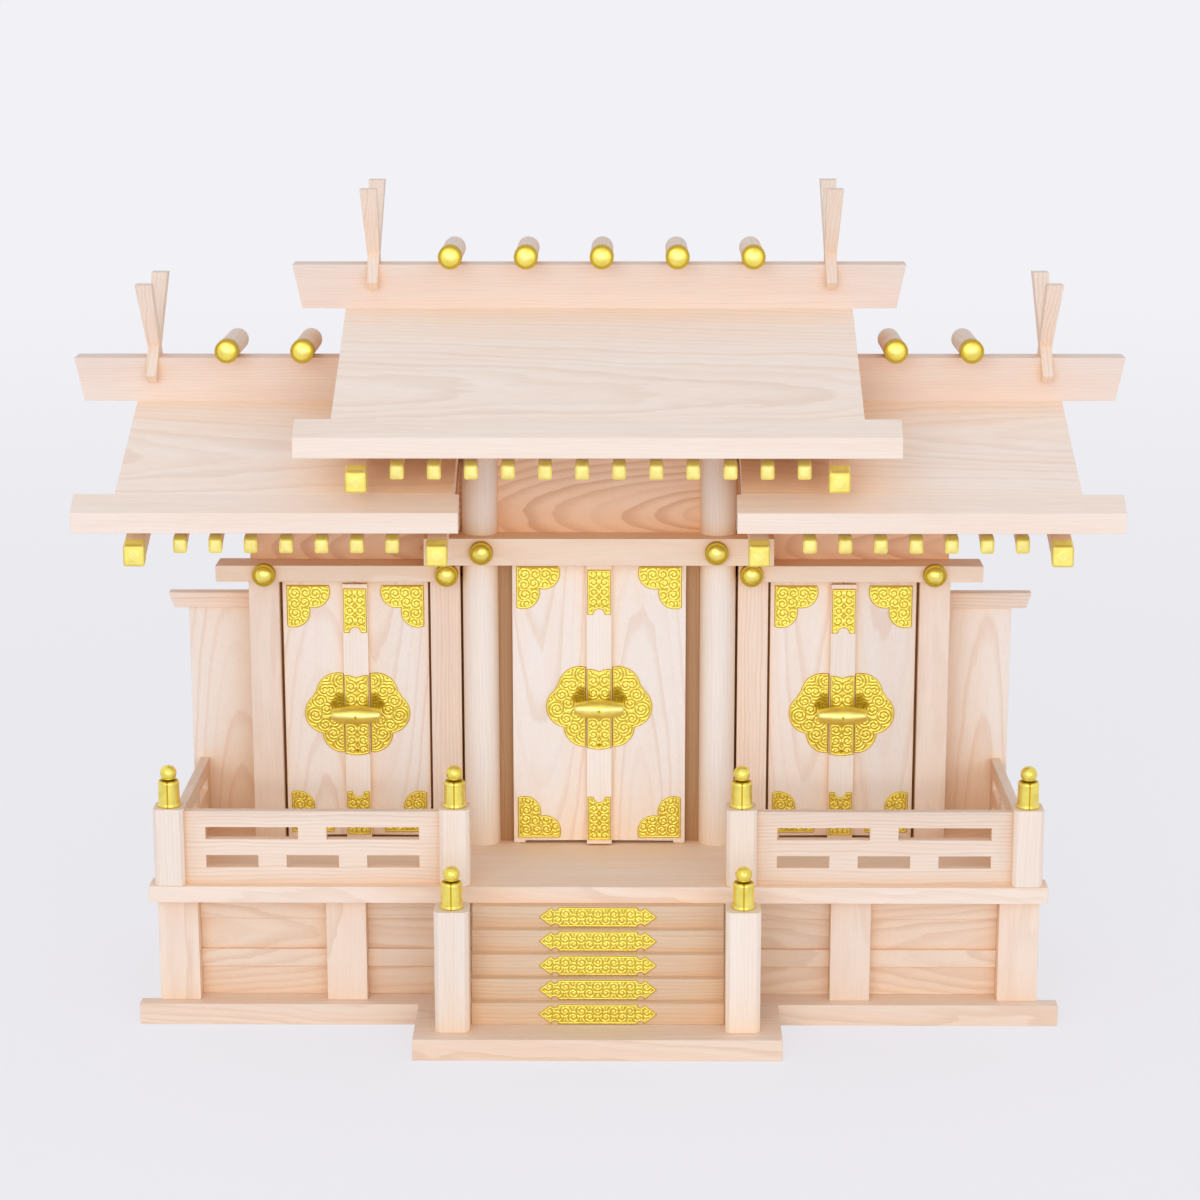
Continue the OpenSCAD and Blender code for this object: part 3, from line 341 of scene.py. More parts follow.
def eased(points, faces):
    """The solid with its long sharp outer edges rounded off, and its flat areas as single faces."""
    bm = bmesh.new()
    verts = [bm.verts.new(p) for p in points]
    for face in faces:
        bm.faces.new([verts[i] for i in face])
    bmesh.ops.recalc_face_normals(bm, faces=bm.faces)
    bmesh.ops.dissolve_limit(bm, angle_limit=FLAT_ANGLE, verts=bm.verts, edges=bm.edges)
    sharp = [
        e for e in bm.edges
        if len(e.link_faces) == 2 and e.is_convex and e.calc_length() > LONG_EDGE
        and e.calc_face_angle(0) > SHARP_ANGLE
    ]
    if sharp:
        bmesh.ops.bevel(
            bm, geom=sharp, offset=EASE, offset_type="OFFSET", segments=2, profile=0.5,
            affect="EDGES", clamp_overlap=True, loop_slide=True,
        )
    if bm.calc_volume(signed=True) < 0:
        bmesh.ops.reverse_faces(bm, faces=bm.faces)
    bm.verts.index_update()
    out_points = np.array([v.co for v in bm.verts], float)
    out_faces = [[v.index for v in f.verts] for f in bm.faces]
    bm.free()
    return out_points, out_faces


def fibre_way(local, axis):
    """The way a board's fibres run: an axis, long for the board's own length, or level for the longer of X
    and Y."""
    axes = np.eye(3)
    if axis == "long":
        _, vectors = np.linalg.eigh(np.cov(local.T))
        way = vectors[:, 2]
        return way * (1 if way[np.abs(way).argmax()] > 0 else -1)
    if axis == "level":
        return axes[int(np.ptp(local[:, 1]) > np.ptp(local[:, 0]))]
    return axes["xyz".index(axis)]


def grain_of(points, axis, figure, rng):
    """Places beside a pith for one board, and the way its fibres run. The pith lies under the board's face
    for one of the figures, far behind it for edge, and far beside the board for quarter."""
    local = points - (points.min(0) + points.max(0)) / 2
    along = fibre_way(local, axis)
    across = sorted((v for v in np.eye(3) if abs(v @ along) < CROSSWISE), key=lambda v: -np.ptp(local @ v))
    wide = across[0] - (across[0] @ along) * along
    wide /= np.linalg.norm(wide)
    thin = np.cross(along, wide)
    a, b, c = local @ along, local @ wide, local @ thin
    if figure in FIGURES:
        words = FIGURES[figure]
        b = b + rng.uniform(*words["aside"]) * np.ptp(b)
        depth = rng.uniform(*words["depth"]) * rng.choice(words["sides"])
        c = c + depth + a * rng.uniform(*words["slope"])
    elif figure == "edge":
        c = c + rng.uniform(*FAR_PITH)
    else:
        b = b + rng.uniform(*FAR_PITH) * rng.choice((-1, 1))
        c = c + rng.uniform(-OFF_MIDDLE, OFF_MIDDLE)
    return np.stack([a + rng.uniform(-ALONG_TRUNK, ALONG_TRUNK), b, c], 1), along


class Shape:
    """Gathers solids, in mm, into the one piece that stands for a node."""

    def __init__(self):
        self.points, self.faces, self.marks, self.count = [], [], {}, 0

    def add(self, points, faces, **marks):
        """One more solid. Each mark is a value, or a value for each point, that its material reads."""
        points = np.asarray(points, float)
        self.points.append(points)
        self.faces += [[i + self.count for i in face] for face in faces]
        for name, values in marks.items():
            spread = np.broadcast_to(values, (len(points),) + np.shape(values)[1:])
            self.marks.setdefault(name, []).append(spread)
        self.count += len(points)

    def piece(self, name, node, material, crease):
        """The mesh object, shaded smooth up to the crease angle in degrees."""
        mesh = bpy.data.meshes.new(name)
        mesh.from_pydata((np.concatenate(self.points) * MM).tolist(), [], self.faces)
        for mark, values in self.marks.items():
            values = np.concatenate(values).astype(np.float32)
            kind, field = ("FLOAT_VECTOR", "vector") if values.ndim == 2 else ("FLOAT", "value")
            mesh.attributes.new(mark, kind, "POINT").data.foreach_set(field, values.ravel())
        mesh.validate()
        mesh.shade_smooth()
        mesh.set_sharp_from_angle(angle=math.radians(crease))
        mesh.materials.append(material)
        piece = bpy.data.objects.new(name, mesh)
        bpy.context.scene.collection.objects.link(piece)
        piece.modifiers.new("faces", "WEIGHTED_NORMAL").keep_sharp = True
        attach(piece, frame["nodes"][node]["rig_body"])
        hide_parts(node)


def wood_piece(node, wood, axis, figure):
    """One piece for a wooden node: each board gets its own run of grain and shade."""
    shape = Shape()
    for k, (points, faces) in enumerate(solids(node)):
        rng = random.Random(f"{node}{k}")
        points, faces = eased(points, faces)
        grain, along = grain_of(points, axis, figure, rng)
        reach = points @ along
        end = ((reach < reach.min() + END_SLICE) | (reach > reach.max() - END_SLICE)).astype(float)
        tint = np.full(len(points), rng.uniform(-1, 1))
        shape.add(points, faces, grain=grain * MM, tint=tint, end=end)
    shape.piece(f"{node}_wood", node, WOODS[wood], crease=32)


# Brass

# Brass colours for painted shade and dark reflections, and for painted highlights
PAINTED_SHADE_AND_DARK_REFLECTION = rgb(150, 122, 8)
PAINTED_HIGHLIGHT = rgb(250, 243, 168)
GRIT_DEPTH = 0.0001


def brass_material(name, bright, deep, rough=0.3, grit=0.0, metal=0.75):
    """Lacquered sheet brass. relief is 1 on raised metal, up to 2 for a painted highlight, 0 in
    the recesses and -1 for painted shade and dark reflections."""
    material = bpy.data.materials.new(name)
    t = Tree(material)
    relief = t.attribute("relief")
    place = t.out("TexCoord", output="Object")
    colour = t.mix(t.ramp(relief, 0.1, 0.75), deep, bright)
    # Below 0 the colour goes to painted shade and dark reflection, above 1 to a painted highlight
    colour = t.mix(t.ramp(relief, 0.0, -1.0), colour, PAINTED_SHADE_AND_DARK_REFLECTION)
    colour = t.mix(t.ramp(relief, 1.0, 2.0), colour, PAINTED_HIGHLIGHT)
    colour = t.mix(t.ramp(t.noise(place, 160.0), 0.35, 0.7, 0.0, 0.25), colour, deep)
    speck = t.out("TexVoronoi", {"Vector": place, "Scale": 1300.0})
    shader = t.out("BsdfPrincipled", {
        "Base Color": colour,
        "Metallic": metal,
        "Roughness": t.ramp(relief, 0.0, 1.0, rough + 0.16, rough, False),
        "Normal": t.out("Bump", {"Strength": grit, "Distance": GRIT_DEPTH, "Height": speck}),
    })
    t.node("OutputMaterial", {0: shader})
    return material


POLISHED = brass_material("polished_brass", rgb(252, 234, 112), rgb(190, 158, 36), grit=0.06)
LACQUERED = brass_material("lacquered_brass", rgb(250, 234, 120), rgb(196, 166, 44), rough=0.42, metal=0.3)
STAMPED = brass_material("stamped_brass", rgb(253, 237, 116), rgb(203, 172, 46), grit=0.2)


def brass_piece(node, finish, make, material=STAMPED, crease=60):
    """One piece for a brass node. make turns a solid's points and faces into a list of forms, each with its
    points, faces and relief, the raised pattern together with painted highlights and shade."""
    shape = Shape()
    for points, faces in solids(node):
        for form_points, form_faces, relief in make(points, faces):
            shape.add(form_points, form_faces, relief=relief)
    shape.piece(f"{node}_{finish}", node, material, crease)


# Turned brass

def arc(cx, cy, r, start, stop, steps):
    """Points on part of a circle, in degrees, for a profile."""
    angles = np.radians(np.linspace(start, stop, steps))
    return [(cx + r * math.cos(a), cy + r * math.sin(a)) for a in angles]


# Profiles of (radius, height): the finial's in mm, the caps' in shares of their radius and depth
FINIAL = [
    (0, 0), (6.0, 0), (6.3, 0.3), (6.3, 1.1), (5.95, 1.5), (5.85, 2.0), (5.8, 6.5), (5.65, 12.2),
    (5.8, 12.6), (5.75, 13.1), *arc(4.1, 13.1, 1.65, 10, 80, 5), (3.6, 14.75), (3.0, 14.85), (2.7, 15.0),
    (2.75, 15.2), (3.3, 15.3), (3.8, 15.5), (3.9, 15.7), (3.6, 15.9),
    *arc(0, 18.5, 4.5, -36, 60, 13), (1.3, 22.45), (0.7, 22.6), (0.4, 22.72), (0, 22.8),
]
# The height of the finial's neck, and the width of its painted neck shade and painted front streak
FINIAL_NECK = 15.0
PAINTED_DARK_WIDTH = 0.6
CAP_DISC = [
    (0, 0), (1.0, 0), (1.0, 0.55), *arc(0.93, 0.62, 0.07, 0, 90, 4), (0.86, 0.69),
    (0.82, 0.62), (0.78, 0.62), (0.72, 0.72), (0.6, 0.84), (0.42, 0.93), (0.2, 0.985), (0, 1.0),
]
LOG_CUP = [
    (0, 0.8), (0.94, 0.8), (0.94, 0), (1.0, 0), (1.0, 0.82), *arc(0.94, 0.83, 0.06, 0, 90, 4), (0.88, 0.88),
    (0.85, 0.84), (0.81, 0.84), (0.74, 0.87), (0.55, 0.94), (0.3, 0.985), (0, 1.0),
]
# Beyond this share of the radius a cap's rim is painted dark, as a dark reflection
CAP_RIM = 0.95


def lathe(profile, turns=48):
    """Points and faces of a profile of (radius, height) turned about Z, closed at both ends."""
    points, faces, rings = [], [], []
    angles = np.arange(turns) * 2 * math.pi / turns
    for r, z in profile:
        if r < TINY:
            rings.append([len(points)])
            points.append((0, 0, z))
        else:
            rings.append(list(range(len(points), len(points) + turns)))
            points += [(r * math.cos(a), r * math.sin(a), z) for a in angles]
    for low, high in zip(rings, rings[1:]):
        for k in range(turns):
            n = (k + 1) % turns
            if len(low) == 1:
                faces.append([low[0], high[n], high[k]])
            elif len(high) == 1:
                faces.append([low[k], low[n], high[0]])
            else:
                faces.append([low[k], low[n], high[n], high[k]])
    return np.array(points, float), faces


def finial(points, _):
    """An upright finial in the solid's place, with painted shade in its neck, a painted dark reflection in a
    streak down its front, and a painted highlight that grows with the radius.
    """
    low = points.min(0)
    middle = (low + points.max(0)) / 2
    made, faces = lathe(FINIAL)
    x, y, z = made.T
    radius = np.hypot(x, y)
    painted_neck_shade = np.exp(-((z - FINIAL_NECK) / PAINTED_DARK_WIDTH) ** 2)
    painted_front_reflection = np.exp(-(x / PAINTED_DARK_WIDTH) ** 2) * (y < 0) * (z < FINIAL_NECK)
    # Painted light: brighter where the finial is wider, painted shade in the neck and a painted dark
    # reflection down the front
    relief = 0.8 + 0.45 * radius / radius.max() - 1.8 * painted_neck_shade - 1.5 * painted_front_reflection
    return [(made + (middle[0], middle[1], low[2]), faces, relief)]


def round_cap(profile):
    """Maker of caps that face -Y, as wide and deep as their solids, with a painted highlight in the middle
    that fades to a painted dark reflection on the rim.
    """
    def make(points, _):
        low, high = points.min(0), points.max(0)
        middle, radius = (low + high) / 2, (high[0] - low[0]) / 2
        shares, faces = lathe(profile)
        share = np.hypot(shares[:, 0], shares[:, 1])
        # Painted highlight in the middle, painted dark reflection on the rim
        relief = np.where(share > CAP_RIM, -0.2, 1.5 - 1.9 * share ** 2)
        x, z, y = (shares * (radius, radius, low[1] - high[1])).T
        return [(np.stack([x, y, z], 1) + (middle[0], high[1], middle[2]), faces, relief)]
    return make


# Square caps of thin sheet

CAP_CORNER = 1.3
CAP_DOME = 0.35
CAP_EDGE = 0.45
CAP_EDGE_FROM = 0.72
CAP_EMBOSS = 0.14
# The sides of the sheet caps are painted paler, as painted light
CAP_SIDE_PAINTED_LIGHT = 1.3
FACE_SLICE = 0.05


def grid_faces(n):
    """Squares over n rows of n points."""
    corners = [r * n + c for r in range(n - 1) for c in range(n - 1)]
    return [[k, k + 1, k + n + 1, k + n] for k in corners]


def grid_rim(n):
    """The outer points of such a grid, in order round it."""
    last = n - 1
    return (
        list(range(n)) + [r * n + last for r in range(1, n)]
        + [last * n + c for c in range(last - 1, -1, -1)] + [r * n for r in range(last - 1, 0, -1)]
    )


def soft_square(u, v, half_x, half_z):
    """Places across a square, -1 to 1, laid over a rectangle with round corners, and each one's share of the
    way from the middle to the edge."""
    share = np.maximum(np.maximum(np.abs(u), np.abs(v)), TINY)
    x, z = np.abs(u) / share * half_x, np.abs(v) / share * half_z
    over_x, over_z = x - half_x + CAP_CORNER, z - half_z + CAP_CORNER
    corner = (over_x > 0) & (over_z > 0)
    pull = CAP_CORNER / np.maximum(np.hypot(over_x, over_z), TINY)
    x = np.where(corner, half_x - CAP_CORNER + over_x * pull, x)
    z = np.where(corner, half_z - CAP_CORNER + over_z * pull, z)
    return np.sign(u) * x * share, np.sign(v) * z * share, share


def sheet_cap(cells, emboss):
    """Maker of the ends of sleeves, each as one pressed form: a soft-cornered, slightly domed face and sides
    that run back. emboss gives the height of the face's pattern for places across it from -1 to 1."""
    def make(points, _):
        y0, y1 = points[:, 1].min(), points[:, 1].max()
        face = points[points[:, 1] < y0 + FACE_SLICE]
        back = points[points[:, 1] > y1 - FACE_SLICE]
        centre, half = (face.min(0) + face.max(0)) / 2, (face.max(0) - face.min(0)) / 2
        rise = (back[:, 2].min() + back[:, 2].max()) / 2 - centre[2]
        side = np.linspace(-1, 1, cells + 1)
        u, v = (g.ravel() for g in np.meshgrid(side, side))
        x, z, share = soft_square(u, v, half[0], half[2])
        pattern = emboss(u, v)
        bend = np.clip((share - CAP_EDGE_FROM) / (1 - CAP_EDGE_FROM), 0, 1)
        y = y0 + CAP_EDGE * bend ** 2 + CAP_DOME * share ** 2 + CAP_EMBOSS * (1 - pattern)
        front = np.stack([centre[0] + x, y, centre[2] + z], 1)
        rim = grid_rim(cells + 1)
        sides = front[rim] + (0, 0, rise)
        sides[:, 1] = y1
        count, m = len(front), len(rim)
        faces = grid_faces(cells + 1)
        faces += [[rim[k], count + k, count + (k + 1) % m, rim[(k + 1) % m]] for k in range(m)]
        faces.append([count + k for k in range(m)][::-1])
        # Painted highlight in the middle of the face, darker towards its edges, the pressed pattern's ground
        # a little darker, and the sides painted paler
        relief = 1.6 - 0.9 * share ** 4 - 0.4 * (1 - pattern) * (pattern.max() > 0)
        relief = np.concatenate([relief, np.full(m, CAP_SIDE_PAINTED_LIGHT)])
        return [(np.concatenate([front, sides]), faces, relief)]
    return make


def plain_face(u, v):
    return np.zeros(len(u))


def flower_face(u, v):
    """A small flower inside a ring, as pressed on the larger caps."""
    r, angle = np.hypot(u, v), np.arctan2(v, u)
    petals = np.clip(1 - np.abs(r - 0.34 - 0.1 * np.cos(4 * angle)) / 0.14, 0, 1)
    ring = np.clip(1 - np.abs(np.maximum(np.abs(u), np.abs(v)) - 0.78) / 0.1, 0, 1)
    bud = np.clip(1 - r / 0.16, 0, 1)
    return np.maximum(np.maximum(petals, ring), bud)


# Stamped plates

SHEET = 0.8
BACK_SLICE = 0.01
STAMP_STEP = 0.34
STAMP_HEIGHT = 0.28
ROW_PITCH = 0.866
EDGE_CLEAR = 0.6
RIM_PLACE, RIM_WIDTH = 0.65, 0.3
RIM_INSIDE, EDGE_ROUND, EDGE_DROP = 0.9, 0.4, 0.25
DINT_DEPTH = 0.3
VINE_PITCH = 1.8

# Florets as (across, up, size, hand) and dints as (across, up, radius), in mm, on one half of a plate
LOCK_FLORETS = [
    (8.5, -16.0, 4.6, 1), (14.0, -12.0, 4.0, -1), (18.5, -6.5, 4.2, 1), (23.8, -1.0, 4.4, -1),
    (13.0, -4.0, 4.0, 1), (17.6, 2.5, 4.2, -1), (21.0, 7.5, 4.2, 1), (15.0, 13.0, 4.4, -1),
    (9.0, 19.0, 4.6, 1), (18.5, 13.8, 3.8, 1), (9.4, 12.4, 3.8, -1), (3.4, 9.6, 3.8, 1),
    (3.4, 16.4, 3.8, -1), (3.4, -8.6, 3.8, -1), (3.4, -14.6, 3.8, 1), (3.2, -20.6, 3.4, -1),
]
CORNER_FLORETS = [
    (4.6, 4.6, 4.6, 1), (10.6, 4.4, 4.2, -1), (4.4, 10.6, 4.2, -1), (16.2, 4.8, 4.2, 1),
    (4.8, 16.2, 4.2, 1), (21.4, 6.0, 3.6, -1), (6.0, 21.4, 3.6, -1), (9.8, 9.8, 3.8, 1),
    (16.4, 10.6, 3.6, -1), (10.6, 16.4, 3.6, -1),
]
BATTEN_FLORETS = [(3.2, 0.0, 3.4, 1), (3.2, 5.6, 3.4, -1), (3.2, 10.4, 3.2, 1)]
STEP_FLORETS = [(k * 4.4, 1.7 * (-1) ** k, 3.0, (-1) ** k) for k in range(8)]
# The lock's dints are dipped and also painted dark, as painted shade in their hollows
LOCK_DINTS = [(9.2, 7.4, 5.4), (12.6, 5.4, 3.4), (0.0, -20.8, 1.3)]


def area(loop):
    """The loop's area, below 0 where it runs clockwise."""
    x, z = loop.T
    return 0.5 * float(np.sum(x * np.roll(z, -1) - np.roll(x, -1) * z))


def plate_outline(points, faces):
    """The longest loop round the flat back of a plate, as places (x, z), and the back's y."""
    y = max(points[i][1] for face in faces for i in face)
    links = set()
    for face in faces:
        if all(abs(points[i][1] - y) < BACK_SLICE for i in face):
            links.update(zip(face, face[1:] + face[:1]))
    edges = {i: j for i, j in links if (j, i) not in links}
    loops = []
    while edges:
        start, following = edges.popitem()
        loop = [start]
        while following != start:
            loop.append(following)
            following = edges.pop(following)
        loops.append(points[loop][:, [0, 2]])
    return max(loops, key=lambda loop: abs(area(loop))), y


def resampled(loop):
    """The loop with points at most a step apart, its own corners kept."""
    out = []
    for a, b in zip(loop, np.roll(loop, -1, 0)):
        n = max(1, math.ceil(np.linalg.norm(b - a) / STAMP_STEP))
        out += [a + (b - a) * k / n for k in range(n)]
    return np.array(out)


def edge_distance(places, loop):
    """How far each place is inside the loop: above 0 inside, below 0 outside."""
    best = np.full(len(places), np.inf)
    crossings = np.zeros(len(places), int)
    for a, b in zip(loop, np.roll(loop, -1, 0)):
        d = b - a
        t = np.clip(((places - a) @ d) / max(d @ d, TINY), 0, 1)
        best = np.minimum(best, np.linalg.norm(places - a - t[:, None] * d, axis=1))
        straddle = (a[1] > places[:, 1]) != (b[1] > places[:, 1])
        if straddle.any():
            cut = a[0] + (places[:, 1] - a[1]) / (b[1] - a[1]) * d[0]
            crossings += straddle & (places[:, 0] < cut)
    return np.where(crossings % 2 == 1, best, -best)


def inner_places(loop):
    """Staggered rows of places inside the loop, clear of its edge, and how far inside each lies."""
    low, high = loop.min(0), loop.max(0)
    rows = []
    for k, z in enumerate(np.arange(low[1] + STAMP_STEP / 2, high[1], STAMP_STEP * ROW_PITCH)):
        xs = np.arange(low[0] + STAMP_STEP * (0.25 + 0.5 * (k % 2)), high[0], STAMP_STEP)
        rows.append(np.stack([xs, np.full(len(xs), z)], 1))
    grid = np.concatenate(rows)
    deep = edge_distance(grid, loop)
    kept = deep > EDGE_CLEAR * STAMP_STEP
    return grid[kept], deep[kept]


def scrolls(u, v, florets):
    """Ridges, 0 to 1, of vine scrolls curled round each floret."""
    best = np.full(len(u), np.inf)
    ridge = np.zeros(len(u))
    for across, up, size, hand in florets:
        du, dv = u - across, v - up
        r = np.hypot(du, dv)
        wave = 0.5 + 0.5 * np.cos(2 * math.pi * (r / VINE_PITCH) - hand * np.arctan2(dv, du))
        leaf = 0.75 + 0.25 * np.cos(5 * np.arctan2(dv, du) + hand * r * 0.9)
        vine = np.clip((wave - 0.12) / 0.4, 0, 1)
        here = np.maximum(vine * leaf, np.clip(1.25 - r / 0.8, 0, 1))
        ridge = np.where(r / size < best, here, ridge)
        best = np.minimum(best, r / size)
    return ridge


def hollows(u, v, dints):
    """1 at the bottom of each round dint, 0 outside all of them."""
    deep = np.zeros(len(u))
    for across, up, radius in dints:
        deep = np.maximum(deep, np.clip(1 - (np.hypot(u - across, v - up) / radius) ** 2, 0, 1))
    return deep


def stamped(points, faces, middle, florets, fold=False, dints=()):
    """A plate's outline filled again, with a raised rim and scrolls. The florets lie about the middle (x, z)
    and are mirrored to its other side and, with fold, also from above it to below."""
    loop, back_y = plate_outline(points, faces)
    loop = resampled(loop)
    if area(loop) < 0:
        loop = loop[::-1]
    grid, deep = inner_places(loop)
    n = len(loop)
    wanted = [Vector(p) for p in np.concatenate([loop, grid])]
    verts, _, triangles, *_ = delaunay_2d_cdt(wanted, [], [list(range(n))], 1, 1e-6)
    places = np.array([v[:] for v in verts])
    if len(places) == len(wanted):
        deep = np.concatenate([np.zeros(n), deep])
    else:
        deep = edge_distance(places, loop)

    u, v = np.abs(places[:, 0] - middle[0]), places[:, 1] - middle[1]
    v = np.abs(v) if fold else v
    dint = hollows(u, v, dints)
    ridge = scrolls(u, v, florets) * (1 - 0.7 * dint) * np.clip((deep - RIM_INSIDE) / EDGE_ROUND, 0, 1)
    rim = np.exp(-((deep - RIM_PLACE) / RIM_WIDTH) ** 2)
    raised = np.maximum(rim, ridge)
    edge = 1 - np.sqrt(1 - (1 - np.clip(deep / EDGE_ROUND, 0, 1)) ** 2)
    lift = STAMP_HEIGHT * raised - DINT_DEPTH * dint - EDGE_DROP * edge
    # The raised rim and scrolls show bright; the dints are painted dark as painted shade
    relief = np.clip(raised, 0, 1) - 1.1 * dint

    front = np.stack([places[:, 0], back_y - SHEET - lift, places[:, 1]], 1)
    back = np.stack([loop[:, 0], np.full(n, back_y), loop[:, 1]], 1)
    count = len(front)
    skin = [list(t) for t in triangles]
    a, b, c = (front[i] for i in skin[0])
    if np.cross(b - a, c - a)[1] > 0:
        skin = [t[::-1] for t in skin]
    skin += [[i, (i + 1) % n, count + (i + 1) % n, count + i] for i in range(n)]
    skin.append([count + i for i in range(n)])
    return np.concatenate([front, back]), skin, np.concatenate([relief, np.ones(n)])


def step_plate(points, faces):
    mid_z = (points[:, 2].min() + points[:, 2].max()) / 2
    return [stamped(points, faces, (0, mid_z), STEP_FLORETS)]


# Door fittings

LOCK_PLATE_TALL = 30
BATTEN_PLATE_WIDE = 18
BAR_R = 4.8
BAR_HALF = [
    (4.8, 0.5), (4.78, 1.2), (4.7, 3.4), (4.4, 6.4), (3.9, 9.4), (3.4, 11.6), (3.1, 13.0),
    (2.7, 13.7), (1.9, 14.0), (0, 14.0),
]
BAR = [(r, -z) for r, z in reversed(BAR_HALF)] + [(BAR_R, 0)] + BAR_HALF
BAR_STANDS_OUT = 2
BAR_SWELL = 1.12
BAR_RISE = 1.5
# The height of the bar's painted highlight band above its axis, and the radius of its painted dark pin hole
BAR_PAINTED_HIGHLIGHT_AT = 0.6
PIN_R = 0.9


def lock_middle(row):
    """The middle of a pair of doors and the height of their lock, from the bar that stands out furthest."""
    points = np.concatenate([found for found, _ in solids(f"{row}_doors_right_plates")])
    bar = points[points[:, 1] < points[:, 1].min() + BAR_R]
    x, _, z = (bar.min(0) + bar.max(0)) / 2
    return round(float(x), 2), round(float(z), 2)


def lock_bar(x, y, z):
    """The spindle of a padlock along X, with a painted highlight in a band along it, painted darker above and
    below, and a small spot at the middle of its front painted dark as the shade of a pin hole.
    """
    made, faces = lathe(BAR, 40)
    made = (made * (BAR_SWELL, BAR_SWELL, 1))[:, [2, 0, 1]]
    # Painted highlight in a band just above the bar's axis, darker above and below, and a painted dark spot
    # for a pin hole
    relief = np.clip(1.7 - np.abs(made[:, 2] - BAR_PAINTED_HIGHLIGHT_AT) / 3, 0.5, 1.7)
    painted_pin_hole_shade = (made[:, 1] < 0) & (np.hypot(made[:, 0], made[:, 2]) < PIN_R)
    return made + (x, y, z), faces, np.where(painted_pin_hole_shade, -0.7, relief)


def door_plate(row, node):
    """Maker of the plates on one leaf: its part of the lock plate, with the bar where the solid has it, the
    plates on the batten's ends, and the corners."""
    door_x, lock_z = lock_middle(row)
    low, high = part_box(node)
    leaf_z = (low[2] + high[2]) / 2 / MM

    def make(points, faces):
        loop, back_y = plate_outline(points, faces)
        (x0, z0), (x1, z1) = loop.min(0), loop.max(0)
        mid_z = (z0 + z1) / 2
        if z1 - z0 > LOCK_PLATE_TALL:
            forms = [stamped(points, faces, (door_x, lock_z), LOCK_FLORETS, dints=LOCK_DINTS)]
            front_y = points[:, 1].min()
            if front_y < back_y - BAR_STANDS_OUT:
                forms.insert(0, lock_bar(door_x, front_y + BAR_R, lock_z + BAR_RISE))
            return forms
        if x1 - x0 < BATTEN_PLATE_WIDE:
            return [stamped(points, faces, (door_x, mid_z), BATTEN_FLORETS, fold=True)]
        outer = max((x0, x1), key=lambda x: abs(x - door_x))
        edge = z1 if mid_z > leaf_z else z0
        return [stamped(points, faces, (outer, edge), CORNER_FLORETS, fold=True)]
    return make


# Studio

CAMERA_PLACE = (0.01544, -1.6244, 0.59894)
CAMERA_PITCH, CAMERA_YAW, CAMERA_ROLL = (math.radians(angle) for angle in (13.10, -0.53, -0.06))
CAMERA_LENS = 88.82
BACKGROUND = rgb(242, 242, 247)
FLOOR_PAINT = rgb(240, 238, 242)
SKY_LIGHT = rgb(252, 252, 255)
AMBIENT = 0.74
FLOOR_REACH = 40.0
LAMP_COLOUR = (1, 0.975, 0.945)
LAMP_AIM = (0, 0, 0.2)

# Each lamp's place, width and height in metres, and its power
LAMPS = {
    "key": ((-0.75, -2.25, 1.0), 1.4, 1.4, 9.8),
    "fill": ((1.0, -2.25, 0.7), 1.4, 1.2, 5.5),
    "low": ((0.1, -2.3, 0.3), 1.6, 0.4, 4.8),
}


def placed(name, data):
    """A new object in the scene that shows the data."""
    made = bpy.data.objects.new(name, data)
    bpy.context.scene.collection.objects.link(made)
    return made


def aim_camera():
    """The photograph's place and direction, worked out from the shrine's own corners."""
    level = Vector((math.sin(CAMERA_YAW), math.cos(CAMERA_YAW), 0))
    ahead = level * math.cos(CAMERA_PITCH) - Vector((0, 0, math.sin(CAMERA_PITCH)))
    right = Vector((math.cos(CAMERA_YAW), -math.sin(CAMERA_YAW), 0))
    up = right.cross(ahead)
    side = right * math.cos(CAMERA_ROLL) + up * math.sin(CAMERA_ROLL)
    top = up * math.cos(CAMERA_ROLL) - right * math.sin(CAMERA_ROLL)
    data = bpy.data.cameras.new("camera")
    data.lens, data.sensor_width, data.clip_start, data.clip_end = CAMERA_LENS, 36, 0.05, 100
    camera = placed("camera", data)
    turn = Matrix((side, top, -ahead)).transposed().to_4x4()
    camera.matrix_world = Matrix.Translation(CAMERA_PLACE) @ turn
    bpy.context.scene.camera = camera


def shows_background(t):
    """1 for rays that show the background itself: straight, mirrored or through glass."""
    path = t.node("LightPath").outputs
    straight_or_mirrored = t.math("MAXIMUM", path["Is Camera Ray"], path["Is Glossy Ray"])
    return t.math("MAXIMUM", straight_or_mirrored, path["Is Transmission Ray"])


def set_world():
    world = bpy.data.worlds.new("studio")
    t = Tree(world)
    shown = t.out("Background", {0: BACKGROUND, 1: 1.0})
    lit = t.out("Background", {0: SKY_LIGHT, 1: AMBIENT})
    t.node("OutputWorld", {0: t.out("MixShader", {0: shows_background(t), 1: lit, 2: shown})})
    bpy.context.scene.world = world


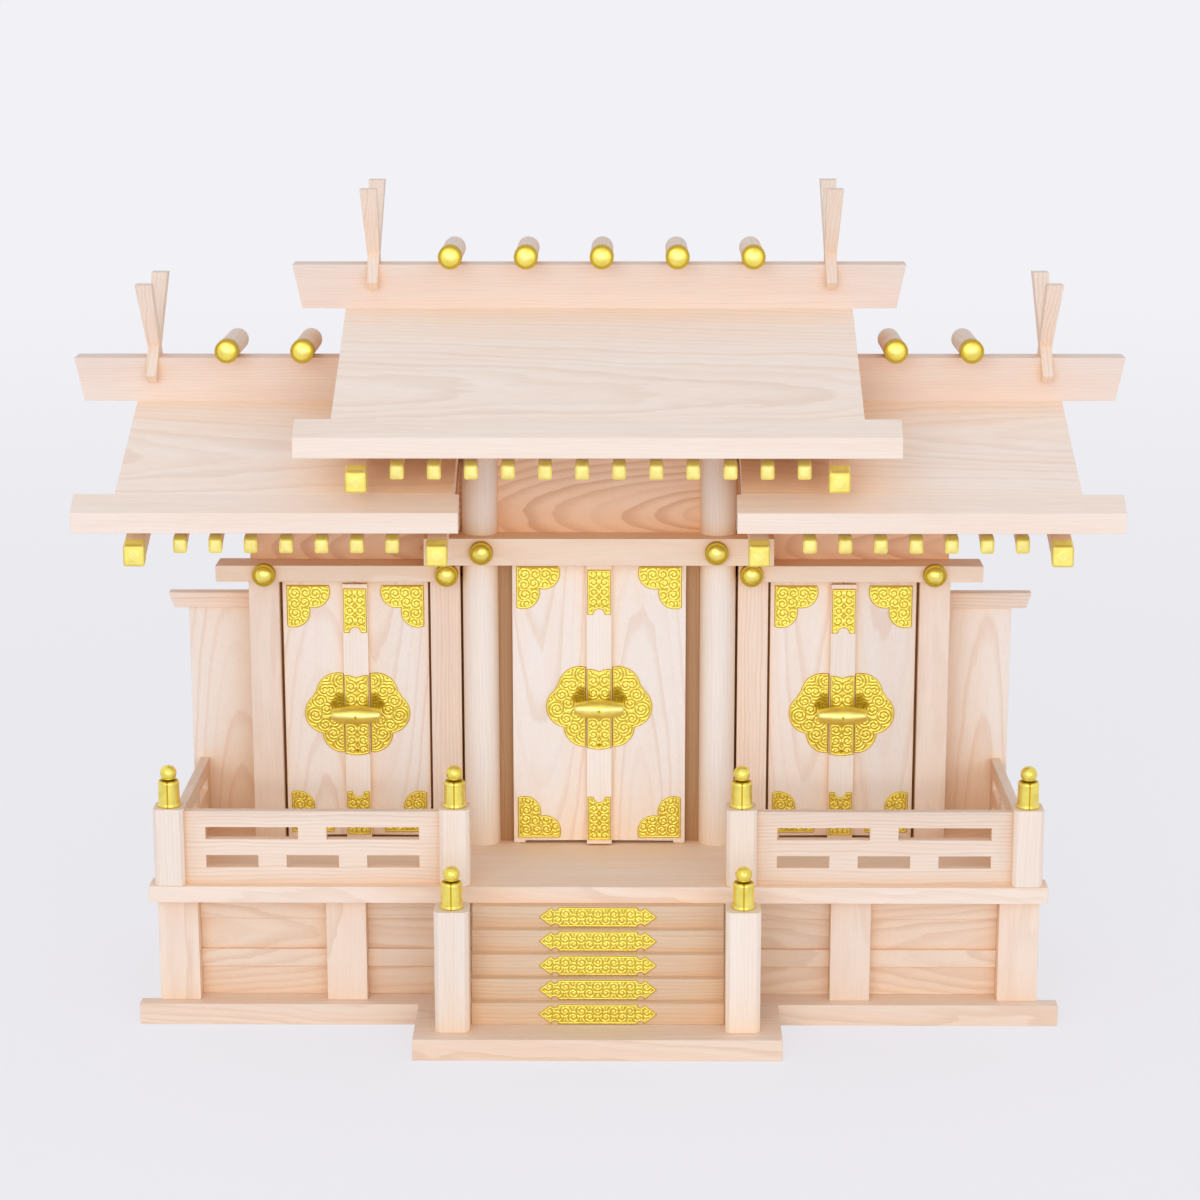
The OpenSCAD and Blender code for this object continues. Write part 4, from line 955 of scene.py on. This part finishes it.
def lay_floor():
    """A pale floor that takes the shrine's shadow near it and turns into the background further out."""
    material = bpy.data.materials.new("studio_floor")
    t = Tree(material)
    paint = t.out("BsdfDiffuse", {0: FLOOR_PAINT})
    glow = t.out("Emission", {0: BACKGROUND, 1: 1.0})
    place = t.out("NewGeometry", output="Position")
    distance = t.out("VectorMath", {0: place}, "Value", operation="LENGTH")
    share = t.math("MULTIPLY", shows_background(t), t.ramp(distance, 0.4, 3.5, 0.7, 0.98))
    t.node("OutputMaterial", {0: t.out("MixShader", {0: share, 1: paint, 2: glow})})
    mesh = bpy.data.meshes.new("floor")
    corners = [(x * FLOOR_REACH, y * FLOOR_REACH, 0) for x, y in ((-1, -1), (1, -1), (1, 1), (-1, 1))]
    mesh.from_pydata(corners, [], [(0, 1, 2, 3)])
    mesh.materials.append(material)
    placed("floor", mesh)


def hang_lamp(name, place, width, height, power):
    data = bpy.data.lights.new(name, "AREA")
    data.shape, data.size, data.size_y = "ELLIPSE", width, height
    data.energy, data.color = power, LAMP_COLOUR
    lamp = placed(name, data)
    lamp.location = place
    lamp.rotation_euler = (Vector(LAMP_AIM) - Vector(place)).to_track_quat("-Z", "Y").to_euler()


# The whole scene

for node, words in WOODEN.items():
    wood_piece(node, *words)
brass_piece("post_finials", "turned", finial, POLISHED, crease=50)
brass_piece("lintel_caps", "turned", round_cap(CAP_DISC), POLISHED, crease=50)
brass_piece("katsuogi_caps", "turned", round_cap(LOG_CUP), POLISHED, crease=50)
brass_piece("rafter_caps", "sheet", sheet_cap(10, plain_face), LACQUERED, crease=50)
brass_piece("bargeboard_caps", "sheet", sheet_cap(30, flower_face), LACQUERED, crease=50)
for row in DOOR_ROWS:
    for side in ("left", "right"):
        plates = f"{row}_doors_{side}_plates"
        brass_piece(plates, "stamped", door_plate(row, plates))
brass_piece("step_fittings", "stamped", step_plate)

aim_camera()
set_world()
lay_floor()
for name, words in LAMPS.items():
    hang_lamp(name, *words)
bpy.context.scene.view_settings.view_transform = "Standard"
